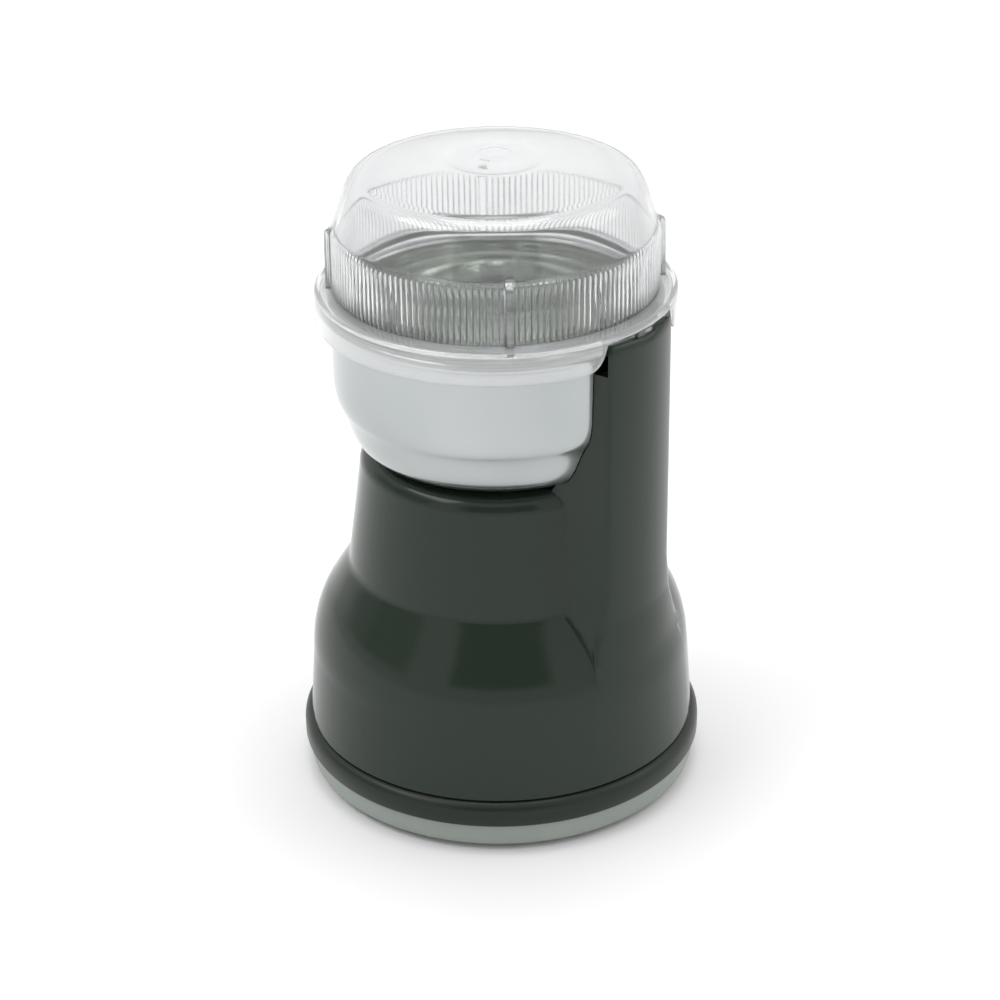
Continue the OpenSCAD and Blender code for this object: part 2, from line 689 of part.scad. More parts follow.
module brush_holders() {
  color([0.76, 0.62, 0.30])
  for (s = [0, 180]) rotate([0, 0, s]) difference() {
    translate([holder_x0, -holder_w / 2, z_brush - holder_h / 2]) cube([holder_l, holder_w, holder_h]);
    translate([holder_x0 - 1, -brush_w / 2 - 0.1, z_brush - brush_h / 2 - 0.1])
      cube([holder_l, brush_w + 0.2, brush_h + 0.2]);
  }
}
module carbon_brushes() {
  color([0.15, 0.15, 0.16])
  for (s = [0, 180]) rotate([0, 0, s]) translate([brush_x0, -brush_w / 2, z_brush - brush_h / 2])
    cube([brush_l, brush_w, brush_h]);
}
module brush_springs() {
  color([0.65, 0.66, 0.67])
  for (s = [0, 180]) rotate([0, 0, s]) translate([brush_x0 + brush_l + 0.35, 0, z_brush]) rotate([0, 90, 0])
    sweep(coil_pts(1.5, holder_x1 - 1 - brush_x0 - brush_l - 0.75, 3), 0.2, 5);
}

module motor_shaft() {
  color([0.72, 0.73, 0.74]) union() {
    translate([0, 0, z_fan - 0.3]) cylinder(r = shaft_r, h = z_blade - z_fan + 0.3);
    translate([0, 0, z_blade - eps]) cylinder(r = thread_r, h = blade_t + 5.4);
  }
}
module rotor_core() {
  color([0.48, 0.48, 0.49]) translate([0, 0, z_stack]) linear_extrude(height = stack_h) difference() {
    circle(r = rotor_r);
    circle(r = shaft_r + seat_gap);
    for (i = [0:slot_count - 1]) rotate(360 * i / slot_count) {
      translate([rotor_r - 6, -1.25]) square([5, 2.5]);
      translate([rotor_r - 2, -0.6]) square([3, 1.2]);
    }
  }
}
module rotor_windings() {
  color([0.74, 0.40, 0.17]) union() {
    for (z = [z_stack - winding_h, z_stack + stack_h + 0.2]) translate([0, 0, z])
      rotate_extrude() polygon([[shaft_r + 1.5, 0.8], [rotor_r - 2.4, 0], [rotor_r - 1, 1.4], [rotor_r - 1, 4],
        [rotor_r - 2.4, winding_h - 0.2], [shaft_r + 1.5, winding_h - 0.2]]);
    for (i = [0:slot_count - 1]) rotate([0, 0, 360 * i / slot_count])
      translate([rotor_r - 5.8, -1.1, z_stack - 1]) cube([4.6, 2.2, stack_h + 2]);
  }
}
module commutator() {
  color([0.74, 0.44, 0.24]) translate([0, 0, z_comm]) difference() {
    union() {
      cylinder(r = comm_r, h = comm_h - 2);
      translate([0, 0, comm_h - 2]) cylinder(r = comm_r + 1.2, h = 2);
    }
    translate([0, 0, -1]) cylinder(r = shaft_r + seat_gap, h = comm_h + 2);
    for (i = [0:slot_count - 1]) rotate([0, 0, 360 * (i + 0.5) / slot_count])
      translate([comm_r - 0.9, -0.3, -1]) cube([3, 0.6, comm_h + 2]);
  }
}
module fan() {
  color([0.30, 0.32, 0.34]) difference() {
    union() {
      translate([0, 0, z_fan]) cylinder(r = 6, h = fan_h);
      translate([0, 0, z_fan]) cylinder(r = fan_r - 1, h = 1.2);
      for (i = [0:fan_blades - 1]) rotate([0, 0, 360 * i / fan_blades])
        translate([5, 0, z_fan + 0.6]) rotate([0, 0, 14]) translate([0, -0.6, 0])
          cube([fan_r - 6, 1.2, fan_h - 0.8]);
    }
    translate([0, 0, z_fan - 1]) cylinder(r = shaft_r + seat_gap, h = fan_h + 2);
  }
}

// ---------- blade ----------
z_blade = hub_top + 1.7;
module blade_spacer() {
  color([0.70, 0.71, 0.72]) translate([0, 0, hub_top + free_gap])
    tube(5.2, shaft_r + seat_gap, z_blade - hub_top - free_gap);
}
blade_bend_r = 10;
module blade_arm(tilt) {
  translate([blade_bend_r, 0, 0]) rotate([0, -tilt, 0]) linear_extrude(height = blade_t)
    polygon([[-0.6, -blade_w / 2], [4, -blade_w / 2], [blade_r - blade_bend_r - 1, -1.6],
      [(blade_r - blade_bend_r) * 0.985, 0.6], [blade_r - blade_bend_r - 4, blade_w / 2 - 2.2], [-0.6, blade_w / 2]]);
}
module blade() {
  color([0.78, 0.79, 0.80]) translate([0, 0, z_blade]) difference() {
    union() {
      linear_extrude(height = blade_t) intersection() {
        square([2 * blade_bend_r, blade_w], center = true);
        circle(r = blade_bend_r + 1.6);
      }
      blade_arm(blade_up);
      rotate([0, 0, 180]) blade_arm(-blade_down);
    }
    translate([0, 0, -2]) cylinder(r = thread_r + seat_gap, h = blade_t + 4);
  }
}
module blade_nut() {
  color([0.80, 0.81, 0.82]) translate([0, 0, z_blade + blade_t]) difference() {
    union() {
      cylinder(r = 4.6, h = 4, $fn = 6);
      rotate_extrude() intersection() {
        translate([0, 3.2]) circle(r = 3.6);
        translate([0, 3.4]) square([4, 4]);
      }
      cylinder(r = 5.6, h = 0.9);
    }
    translate([0, 0, -1]) cylinder(r = thread_r + seat_gap, h = 6.6);
  }
}

// ---------- switch ----------
button_w = 3;
button_t = 1.8;
button_out = 1.4;
pin_x = 7.5;
foot_z = switch_top + button_out + free_gap;
foot_t = 2.5;
collar_z = shelf_z + shelf_t + 12;
rod_top = z_ledge_low - 4.6;
lug_bottom = rod_top + free_gap;
rod_collar_r = 3.3;
module microswitch() {
  color([0.10, 0.11, 0.12])
  translate([0, switch_y, switch_top - switch_h]) difference() {
    union() {
      slab(switch_w, switch_d, switch_h);
      for (x = [-pin_x, 0, pin_x]) translate([x, 0, -3.8]) slab(0.6, 3.2, 3.9);
    }
    for (s = [-1, 1]) translate([s * switch_screw_x, 5, switch_screw_z - switch_top + switch_h])
      rotate([90, 0, 0]) cylinder(r = switch_screw_r + seat_gap, h = 10);
    translate([0, 0, switch_h - 3.2]) slab(button_w + 2 * free_gap, button_t + 2 * free_gap, 4);
  }
}
module switch_screws() {
  color([0.60, 0.61, 0.62])
  for (s = [-1, 1]) translate([s * switch_screw_x, switch_y + switch_d / 2, switch_screw_z])
    rotate([90, 0, 0]) union() {
      cylinder(r = switch_screw_r, h = switch_d + 1.9);
      translate([0, 0, -1.4]) cylinder(r = 2, h = 1.4);
    }
}
module switch_button() {
  color([0.75, 0.12, 0.10])
  translate([0, switch_y, switch_top - 1.5]) slab(button_w, button_t, 1.5 + button_out);
}
module switch_rod() {
  color([0.10, 0.10, 0.10]) union() {
    translate([-rod_w / 2, rod_y - rod_t / 2, collar_z]) cube([rod_w, rod_t, rod_top - collar_z]);
    translate([0, stem_y, foot_z]) cylinder(r = stem_r, h = collar_z - foot_z + 1);
    translate([0, stem_y, collar_z - 2]) cylinder(r = rod_collar_r, h = 2.6);
    translate([-stem_r, stem_y - 1, foot_z]) cube([2 * stem_r, toe_y - stem_y + 1, foot_t]);
  }
}
module rod_spring() {
  color([0.70, 0.71, 0.72])
  translate([0, stem_y, shelf_z + shelf_t + spring_wire_r + 0.05])
    sweep(coil_pts(spring_r, collar_z - 2 - shelf_z - shelf_t - 2 * spring_wire_r - 0.1, spring_turns), spring_wire_r, 6);
}

// ---------- wiring ----------
wiring_room = 15.9;
block_y = base_r - wiring_room;
cap_x = base_r - wiring_room;
module terminal_block() {
  color([0.85, 0.85, 0.80]) translate([0, block_y, z_floor]) difference() {
    slab(18, 9, 9);
    for (x = [-4.5, 4.5]) {
      translate([x, 0, 3]) cylinder(r = 1.8, h = 8);
      translate([x, -6, 4]) rotate([-90, 0, 0]) cylinder(r = 1.4, h = 12);
    }
  }
}
module capacitor() {
  color([0.80, 0.62, 0.18]) translate([-cap_x, 0, z_floor]) slab(7, 14, 12);
}
lead_r = 0.9;
lead_paths = [
  [[-4.5, 34, z_floor + 4], [-4.5, 29, z_floor + 4], [-5.5, 27.6, z_floor + 6], [-12, 27, 18], [-24, 24, 26],
   [-33, 14, 32], [-37, 2, 35], [-35, -12, 37], [-28, -26, 39], [-18, -35, 42], [-10, -39.2, 47],
   [-pin_x, switch_y - 0.3, 54], [-pin_x, switch_y, switch_top - switch_h - 3.85]],
  [[4.5, 34, z_floor + 4], [4.5, 29, z_floor + 4], [5.5, 27.6, z_floor + 6], [12, 26, 18], [20, 22, 26],
   [26, 14, 33], [28, 6, z_brush + 1], [27, 1.2, z_brush], [25.5, 0, z_brush], [holder_x1 + 0.05, 0, z_brush]]];
module motor_leads() {
  color([0.20, 0.30, 0.60]) for (p = lead_paths) sweep(p, lead_r, 8);
}

// ---------- lid ----------
collar_in_r = collar_r - flute_depth - lid_wall;
dome_rise = dome_h - crown_rise;
crown_edge_r = dome_edge_r - 4.9;
dome_side = [for (i = [0:6]) let (t = i / 6)
  [bez(collar_r - 0.4, collar_r - 2.9, dome_edge_r, crown_edge_r, t),
   bez(z_collar, z_collar + dome_rise * 0.47, z_dome - crown_rise - 0.2, z_dome - crown_rise, t)]];
function crown_z(r) = z_dome - crown_rise * pow(r / crown_edge_r, 2);
crown = concat([for (r = [crown_edge_r - 4:-4.6:gate_ring_r + 1]) [r, crown_z(r)]],
  [[gate_ring_r, crown_z(gate_ring_r)], [gate_ring_r - 0.3, crown_z(gate_ring_r) - 0.35],
   [gate_r + 0.3, crown_z(gate_r) - 0.35], [gate_r, crown_z(gate_r) + 0.1], [0, z_dome]]);
lid_outside = concat(dome_side, crown);
module skirt_cut() {
  half = spine_half_w + 0.5;
  top = z_ledge_low;
  low = z_ledge - skirt_h;
  // slot beside and over the spine, with rounded outer corners at its foot
  rotate([90, 0, 0]) linear_extrude(height = 60) difference() {
    translate([-half - skirt_corner_r, low - 1]) square([2 * (half + skirt_corner_r), top - low + 1]);
    for (s = [-1, 1]) translate([s * (half + skirt_corner_r), low + skirt_corner_r]) circle(r = skirt_corner_r);
    for (s = [-1, 1]) translate([s > 0 ? half : -half - skirt_corner_r - 1, low + skirt_corner_r])
      square([skirt_corner_r + 1, top - low]);
  }
}
module flute_band() {
  pts = [for (i = [0:2 * flute_count - 1])
    let (r = collar_r - (i % 2) * flute_depth, a = 180 * i / flute_count) [r * cos(a), r * sin(a)]];
  translate([0, 0, z_ledge - 0.3]) linear_extrude(height = collar_h + 0.3) difference() {
    polygon(pts);
    circle(r = collar_in_r);
  }
}
module lid() {
  color([0.90, 0.92, 0.93, 0.45])
  union() {
    difference() {
      revolve(concat(
        [[skirt_r - lid_wall, z_ledge - skirt_h], [skirt_r - 0.3, z_ledge - skirt_h],
         [skirt_r, z_ledge - skirt_h + 0.4], [skirt_r, z_ledge - 0.8], [skirt_r - 0.8, z_ledge], [collar_r - flute_depth - 0.1, z_ledge],
         [collar_in_r, z_ledge], [collar_in_r, z_ledge_low], [skirt_r - lid_wall, z_ledge_low]]));
      skirt_cut();
    }
    flute_band();
    revolve(concat([[collar_in_r, z_collar - 0.4], [collar_r - flute_depth - 0.2, z_collar - 0.4]],
      lid_outside, [[0, z_dome - lid_wall - 0.4]],
      [for (i = [len(lid_outside) - 2:-1:0]) let (p = lid_outside[i])
        [max(0, p[0] - lid_wall * min(1, p[0] / crown_edge_r)), p[1] - lid_wall * (i > 5 ? 1 : 0.12 * i)]]));
    around(4, 0, -90 - rib_turn) translate([collar_in_r + 0.6, -rib_w / 2, z_ledge - 0.2])
      cube([rib_proud + flute_depth + lid_wall - 0.6, rib_w, collar_h + 0.4]);
    translate([-lug_w / 2, rod_y - rod_t / 2, lug_bottom]) cube([lug_w, rod_t, z_ledge_low - lug_bottom + 0.5]);
  }
}

base_plate();
base_ring();
body_shell();
feet();
base_screws();
bowl();
bowl_gasket();
bowl_nut();
shaft_seal();
upper_bracket();
bracket_screws();
rubber_mounts();
upper_bearing();
stator_core();
field_coils();
motor_screws();
lower_bracket();
lower_bearing();
brush_holders();
carbon_brushes();
brush_springs();
microswitch();
switch_screws();
rod_spring();
terminal_block();
capacitor();
cord_gland();
motor_leads();
motor_shaft();
rotor_core();
rotor_windings();
commutator();
fan();
blade_spacer();
blade();
blade_nut();
switch_rod();
switch_button();
lid();
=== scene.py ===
# %% [markdown]
# # A small electric spice grinder
# The grinder has a dark bell-shaped housing with a spine up one side, a steel bowl in the middle
# and a clear lid on top. Pressing the lid down runs it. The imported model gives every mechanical
# part in its place. Here the parts that can be seen get finer surfaces, and every part gets a
# material. Sizes are written in millimetres, and `MM` turns them into metres.

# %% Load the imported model
import json
import math

import bmesh
import bpy
import numpy as np
from mathutils import Matrix, Vector


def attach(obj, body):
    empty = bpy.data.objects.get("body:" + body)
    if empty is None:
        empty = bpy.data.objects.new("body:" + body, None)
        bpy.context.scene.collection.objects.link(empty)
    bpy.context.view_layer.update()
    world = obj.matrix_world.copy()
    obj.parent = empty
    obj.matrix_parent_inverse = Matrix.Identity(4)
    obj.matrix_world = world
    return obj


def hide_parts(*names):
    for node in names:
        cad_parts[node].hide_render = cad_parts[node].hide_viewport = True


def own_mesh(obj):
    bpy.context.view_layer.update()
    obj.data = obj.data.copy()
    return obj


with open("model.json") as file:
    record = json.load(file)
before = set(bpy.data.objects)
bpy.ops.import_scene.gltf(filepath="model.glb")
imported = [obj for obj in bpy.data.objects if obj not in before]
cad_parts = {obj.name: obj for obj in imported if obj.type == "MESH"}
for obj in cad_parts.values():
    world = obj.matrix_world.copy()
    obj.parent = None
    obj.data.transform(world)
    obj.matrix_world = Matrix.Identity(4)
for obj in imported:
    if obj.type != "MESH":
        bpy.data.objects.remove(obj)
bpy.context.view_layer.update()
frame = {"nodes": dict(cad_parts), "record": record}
MM = 0.001

# %% [markdown]
# The camera comes first, because every later choice is judged through it. It stands about two
# thirds of a metre away, a little above the grinder. A long lens keeps the upright lines nearly
# parallel, as in product pictures. The small roll levels the picture. It is put in as a turn
# about the camera's own line of sight, after the camera has been aimed.

# %% Camera
AIM_HEIGHT, DISTANCE = 73.0, 664.1
AZIMUTH, ELEVATION, ROLL = -52.3, 27.174, -0.72


def direction(azimuth, elevation):
    """A unit vector away from the grinder, from two angles in degrees. Azimuth 0 is the spine's side."""
    a, e = math.radians(azimuth), math.radians(elevation)
    return Vector((math.sin(a) * math.cos(e), -math.cos(a) * math.cos(e), math.sin(e)))


lens = bpy.data.cameras.new("studio_camera")
lens.lens = 93.6
lens.sensor_width = 36.0
lens.shift_x = 0.0012
camera = bpy.data.objects.new("studio_camera", lens)
bpy.context.scene.collection.objects.link(camera)
back = direction(AZIMUTH, ELEVATION)
camera.location = Vector((0.0, 0.0, AIM_HEIGHT)) * MM + back * (DISTANCE * MM)
aimed = back.to_track_quat("Z", "Y").to_matrix().to_4x4()
rolled = Matrix.Rotation(math.radians(ROLL), 4, "Z")
camera.matrix_world = Matrix.Translation(camera.location) @ aimed @ rolled
bpy.context.scene.camera = camera
print("camera at", [round(v, 4) for v in camera.location])

# %% [markdown]
# A moulded or spun piece is mostly a loft: rings of points stacked one over another, with a face
# between each pair of neighbours. It could also be pulled out of a cylinder by hand, but rings
# from numbers stay exact and even. `piece_from` turns points and faces into an object and marks
# which edges stay sharp. `finish_piece` gives it a material, hangs it on the body that it moves
# with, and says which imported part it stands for.

# %% Helpers: from points to a finished piece
def piece_from(name, verts, faces, sharp_deg=35.0):
    mesh = bpy.data.meshes.new(name)
    mesh.from_pydata([tuple(c * MM for c in v) for v in verts], [], [tuple(f) for f in faces])
    mesh.validate()
    bm = bmesh.new()
    bm.from_mesh(mesh)
    bmesh.ops.remove_doubles(bm, verts=bm.verts, dist=1e-7)
    bmesh.ops.recalc_face_normals(bm, faces=bm.faces)
    bm.to_mesh(mesh)
    bm.free()
    return linked(name, mesh, sharp_deg)


def linked(name, mesh, sharp_deg):
    """A smooth-shaded object in the scene, with edges over the given angle kept sharp."""
    for p in mesh.polygons:
        p.use_smooth = True
    mesh.set_sharp_from_angle(angle=math.radians(sharp_deg))
    ob = bpy.data.objects.new(name, mesh)
    bpy.context.scene.collection.objects.link(ob)
    return ob


def finish_piece(ob, body, material, stands_for=()):
    ob.data.materials.clear()
    ob.data.materials.append(material)
    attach(ob, body)
    if stands_for:
        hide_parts(*stands_for)
    print(ob.name, len(ob.data.polygons), "faces")
    return ob


# %% [markdown]
# Most profiles here are lists of (radius, height) points. `lathe` turns one about the axis, which
# suits a spun bowl or a ring. `inset_profile` gives the inner side of a wall of even thickness,
# and two kinds of curve fill in the soft parts between a few chosen points.

# %% Helpers: rings and curves
def grid_faces(rows, cols):
    """Faces between neighbouring closed rows of points."""
    faces = []
    for r in range(rows - 1):
        for c in range(cols):
            a, d = r * cols, (c + 1) % cols
            faces.append((a + c, a + d, a + cols + d, a + cols + c))
    return faces


def lathe(name, profile, columns=192, sharp_deg=35.0):
    """Turns an open or closed list of (radius, height) points about the axis."""
    verts = []
    for radius, height in profile:
        for c in range(columns):
            a = 2 * math.pi * c / columns
            verts.append((radius * math.cos(a), radius * math.sin(a), height))
    return piece_from(name, verts, grid_faces(len(profile), columns), sharp_deg)


def inset_profile(points, wall):
    """Moves every point of an open profile sideways by the wall, towards the axis and down."""
    moved = []
    for i, p in enumerate(points):
        before, after = points[max(i - 1, 0)], points[min(i + 1, len(points) - 1)]
        dr, dz = after[0] - before[0], after[1] - before[1]
        size = math.hypot(dr, dz)
        moved.append((max(0.2, p[0] - wall * dz / size), p[1] + wall * dr / size))
    return moved


def curve_points(a, b, c, d, steps):
    """A cubic curve from a to d that leaves towards b and arrives from c."""
    out = []
    for i in range(steps + 1):
        t = i / steps
        s = 1 - t
        weights = (s**3, 3 * s * s * t, 3 * s * t * t, t**3)
        out.append(tuple(sum(w * p for w, p in zip(weights, axis)) for axis in zip(a, b, c, d)))
    return out


def corner_points(start, corner, end, steps):
    """A short curve that rounds a corner. The end point is left for what follows."""
    out = []
    for i in range(steps):
        s = i / steps
        out.append((1 - s) ** 2 * start + 2 * s * (1 - s) * corner + s * s * end)
    return out


# %% [markdown]
# Every finish below is made of nodes, and they share a small vocabulary. A slow noise changes the
# tone, a finer noise breaks up the gloss, and a bump is fed by the finest one. `Finish` keeps
# that short. A value that is the same all over is set on the shader itself.

# %% Material helper
class Finish:
    def __init__(self, name):
        self.mat = bpy.data.materials.new(name)
        self.mat.use_nodes = True
        self.tree = self.mat.node_tree
        self.shader = self.tree.nodes["Principled BSDF"]
        self.place = self.tree.nodes.new("ShaderNodeTexCoord")

    def node(self, kind, **values):
        n = self.tree.nodes.new(kind)
        for key, value in values.items():
            if key in n.inputs:
                n.inputs[key].default_value = value
            else:
                setattr(n, key, value)
        return n

    def link(self, a, b):
        self.tree.links.new(a, b)

    def stretched(self, scale):
        m = self.node("ShaderNodeMapping")
        m.inputs["Scale"].default_value = scale
        self.link(self.place.outputs["Object"], m.inputs["Vector"])
        return m.outputs["Vector"]

    def noise(self, size, detail=3.0, vector=None):
        n = self.node("ShaderNodeTexNoise", Scale=size, Detail=detail)
        self.link(vector or self.place.outputs["Object"], n.inputs["Vector"])
        return n.outputs["Fac"]

    def between(self, fac, low, high, start=0.3, end=0.7):
        m = self.node("ShaderNodeMapRange")
        for socket, value in zip(("From Min", "From Max", "To Min", "To Max"), (start, end, low, high)):
            m.inputs[socket].default_value = value
        self.link(fac, m.inputs["Value"])
        return m.outputs["Result"]

    def tones(self, fac, dark, light, start=0.3, end=0.7):
        r = self.node("ShaderNodeValToRGB")
        for stop, place, colour in zip(r.color_ramp.elements, (start, end), (dark, light)):
            stop.position = place
            stop.color = (*colour, 1)
        self.link(fac, r.inputs["Fac"])
        return r.outputs["Color"]

    def bump(self, height, strength, distance):
        b = self.node("ShaderNodeBump", Strength=strength, Distance=distance)
        self.link(height, b.inputs["Height"])
        self.link(b.outputs["Normal"], self.shader.inputs["Normal"])


# %% [markdown]
# Nearly all parts are moulded plastic or plain metal, so two recipes cover them. Both take a dark
# and a light tone and a range of roughness. A metal's noise can be stretched, which makes the
# edges of stacked sheets or the turns of a coil out of the same recipe.

# %% Two recipes: moulded plastic and plain metal
def moulded(name, dark, light, rough=(0.18, 0.26), grain=900.0, depth=0.00001, ior=1.46, slow=22.0):
    f = Finish(name)
    f.link(f.tones(f.noise(slow), dark, light), f.shader.inputs["Base Color"])
    f.link(f.between(f.noise(slow * 3), *rough), f.shader.inputs["Roughness"])
    f.shader.inputs["IOR"].default_value = ior
    f.bump(f.noise(grain, 2.0), 0.25, depth)
    return f.mat


def metal(name, dark, light, rough=(0.25, 0.4), stretch=(1, 1, 1), grain=300.0, depth=0.00001, slow=30.0):
    f = Finish(name)
    v = f.stretched(stretch)
    f.shader.inputs["Metallic"].default_value = 1.0
    f.link(f.tones(f.noise(slow, 4.0, v), dark, light), f.shader.inputs["Base Color"])
    f.link(f.between(f.noise(grain, 3.0, v), *rough), f.shader.inputs["Roughness"])
    f.bump(f.noise(grain * 2, 2.0, v), 0.3, depth)
    return f.mat


# %% [markdown]
# The housing is glossy dark plastic with a hint of green, the ring under it is the same plastic
# with a duller face, and the base is a pale grey one. Real mouldings are never perfectly even, so
# the gloss wavers a little and the colour drifts by a few percent. The low index of refraction
# keeps the mirror image of the pale room from washing the dark colour out.

# %% Finish of the housing, ring and base
DARK_IOR = 1.39
housing_plastic = moulded("housing_plastic", (0.0130, 0.0228, 0.0150), (0.0148, 0.0256, 0.0172),
                          rough=(0.10, 0.16), ior=DARK_IOR)
ring_plastic = moulded("ring_plastic", (0.0085, 0.0150, 0.0100), (0.0110, 0.0180, 0.0125),
                       rough=(0.30, 0.40), ior=DARK_IOR)
base_plastic = moulded("base_plastic", (0.27, 0.300, 0.272), (0.30, 0.330, 0.302), rough=(0.35, 0.45))
print("moulded plastic", len(housing_plastic.node_tree.nodes), "nodes")

# %% [markdown]
# ## The housing
# The housing is a bell, a neck and a spine in one skin. First come the numbers: the bell's radius
# at each height, and the width and reach of the spine at seven heights. The shoulder and the neck
# are two separate curves, and a smooth maximum blends them, so there is no edge between them.

# %% Heights and radii of the housing
Z_SEAM, Z_WALL, Z_NECK, Z_TURN = 14.3, 33.5, 58.9, 85.7
Z_DECK_LOW, Z_DECK, SHELF_LOW = 88.1, 90.6, 82.0
SEAM_R, SHOULDER_R, CORE_R, SHOULDER_POWER = 50.2, 48.8, 30.0, 1.97
NECK_LOW_R, NECK_TOP_R, NECK_ROUND, NECK_BLEND = 38.6, 34.2, 4.9, 7.0
STATIONS = np.array([
    # height, half width of the face, half width at the root, reach, radius of the face
    (14.3, 21.0, 21.0, 49.4, 49.4),
    (30.0, 20.0, 20.0, 48.4, 48.0),
    (47.0, 17.6, 17.8, 47.3, 38.0),
    (57.0, 15.3, 20.3, 46.05, 35.5),
    (66.0, 13.5, 19.1, 45.85, 34.5),
    (84.9, 13.2, 15.9, 45.82, 34.2),
    (130.6, 12.8, 12.9, 45.8, 34.0),
])


def bell_radius(z):
    if z <= Z_WALL:
        return SEAM_R - (SEAM_R - SHOULDER_R) * (z - Z_SEAM) / (Z_WALL - Z_SEAM)
    share = min(1.0, (z - Z_WALL) / (Z_NECK - Z_WALL))
    bulge = max(0.0, 1 - share**SHOULDER_POWER) ** (1 / SHOULDER_POWER)
    shoulder = CORE_R + (SHOULDER_R - CORE_R) * bulge
    neck = NECK_LOW_R - (NECK_LOW_R - NECK_TOP_R) * (z - Z_NECK) / (Z_DECK - Z_NECK)
    soft = max(0.01, NECK_BLEND * share)
    h = min(1.0, max(0.0, 0.5 + 0.5 * (shoulder - neck) / soft))
    return neck * (1 - h) + shoulder * h + soft * h * (1 - h)


def skin_radius(z):
    """The bell with the neck's rounded upper edge."""
    if z <= Z_TURN:
        return bell_radius(z)
    return bell_radius(Z_TURN) - NECK_ROUND + math.sqrt(max(0.0, NECK_ROUND**2 - (z - Z_TURN) ** 2))


def spine_shape(z):
    return [float(np.interp(z, STATIONS[:, 0], STATIONS[:, k])) for k in range(1, 5)]


print("bell", [round(bell_radius(z), 2) for z in (14.3, 30, 45, 55, 70, 85)])

# %% [markdown]
# The bowl sits in a hollow of the spine, so its side is drawn before the housing is. It is a soft
# S: out from the floor, a slight waist, and then straight up.

# %% The bowl's side, and the room behind it
BOWL_FLOOR_Z, BOWL_R, BOWL_GAP = 92.2, 40.8, 0.2
RIM_ROOM_Z, RIM_ROOM_R, DECK_BACK_R = 127.4, 42.9, 32.0
waist = (39.55, 103.9)
BOWL_SIDE = curve_points((31.8, BOWL_FLOOR_Z), (37.2, BOWL_FLOOR_Z), (36.9, 99.0), waist, 26)
BOWL_SIDE += curve_points(waist, (40.25, 105.2), (BOWL_R, 107.2), (BOWL_R, 111.5), 10)[1:]


def clear_radius(z):
    """How far the spine's back stands from the axis, behind the bowl and its rim."""
    if z > RIM_ROOM_Z:
        return RIM_ROOM_R
    heights = [Z_DECK] + [q[1] for q in BOWL_SIDE[2:]]
    return float(np.interp(z, heights, [DECK_BACK_R] + [q[0] + BOWL_GAP for q in BOWL_SIDE[2:]]))


print("bowl side", len(BOWL_SIDE), "points, back of the spine", round(clear_radius(110.0), 2))

# %% [markdown]
# Each height gives one ring of points. Most of a ring is a circle. On the spine's side it leaves
# the circle at a crease, runs out along the flank, turns a soft corner and follows the spine's
# rounded face. Short curves at the crease and the corner keep both from being knife sharp, and
# they grow lower down. All rings have the same number of points, so the skin between them is an
# even sheet of four-sided faces. First comes the place where the flank meets the circle.

# %% Where the flank meets the neck
N_CREASE, N_SIDE, N_CORNER, N_FACE, N_BELL = 5, 7, 6, 9, 66
N_SPINE = 2 * (N_CREASE + N_SIDE + N_CORNER + N_FACE) + 1
ROOT_Y = -27.0
CORNER_SOFT = ((47, 62, 90, 130), (3.0, 2.0, 1.1, 0.8))
CREASE_SOFT = ((44, 52, 60, 84, Z_DECK), (3.2, 2.0, 1.1, 1.1, 0.0))


def crease_share(foot, run, radius):
    """Where the flank's line from foot along run crosses the circle, as a share of run."""
    a, b, c = run @ run, 2 * foot @ run, foot @ foot - radius**2
    return min((-b + math.sqrt(max(0.0, b * b - 4 * a * c))) / (2 * a), 0.985)


print("points across the spine", N_SPINE)

# %% [markdown]
# Half of the spine is worked out for x > 0 and then mirrored, so both flanks match exactly.

# %% Half of the spine
def half_spine(z, inner_radius):
    """Points from the crease to the middle of the face, for x > 0, and that middle."""
    half, root, reach, face = spine_shape(z)
    mid = -(reach - face)
    corner = np.array((half, mid - math.sqrt(face**2 - half**2)))
    foot = np.array((root, ROOT_Y))
    crease = foot + (corner - foot) * crease_share(foot, corner - foot, inner_radius)
    flank = np.linalg.norm(corner - crease)
    soft = min(float(np.interp(z, *CORNER_SOFT)), flank * 0.45)
    before = corner + (crease - corner) / flank * soft
    turn = math.asin(half / face) - soft / face
    after = np.array((face * math.sin(turn), mid - face * math.cos(turn)))
    melt = min(float(np.interp(z, *CREASE_SOFT)), flank * 0.4)
    past = math.atan2(crease[0], -crease[1]) + melt / inner_radius
    on_bell = np.array((math.sin(past), -math.cos(past))) * inner_radius
    on_flank = crease + (corner - crease) / flank * (melt if melt > 0 else 0.2 * flank)
    valley = corner_points(on_bell, crease, on_flank, N_CREASE)
    side = [on_flank + (before - on_flank) * i / N_SIDE for i in range(N_SIDE)]
    bend = corner_points(before, corner, after, N_CORNER)
    turns = [turn * (1 - i / N_FACE) for i in range(N_FACE)]
    front = [np.array((face * math.sin(a), mid - face * math.cos(a))) for a in turns]
    return valley + side + bend + front, np.array((0.0, mid - face))


# %% A whole ring
def spine_front(z, inner_radius):
    half, middle = half_spine(z, inner_radius)
    mirrored = [np.array((-p[0], p[1])) for p in reversed(half)]
    return half + [middle] + mirrored


def skin_ring(z):
    """A whole ring: the spine from +x round the front to -x, then the bell round the back."""
    radius = skin_radius(z)
    front = spine_front(z, max(radius, clear_radius(Z_DECK)))
    start = math.atan2(front[0][0], -front[0][1])
    bell = []
    for i in range(1, N_BELL):
        a = start + (2 * math.pi - 2 * start) * (1 - i / N_BELL)
        bell.append(np.array((radius * math.sin(a), -radius * math.cos(a))))
    return front + bell


print("points in a ring", len(skin_ring(60.0)))

# %% [markdown]
# Low on the bell the spine must not end in a visible step. So the rings there are relaxed: each
# point moves a little towards the mean of its neighbours, many times over, and the pull fades out
# upwards and sideways. This is what a modeller does by hand with a smoothing brush.

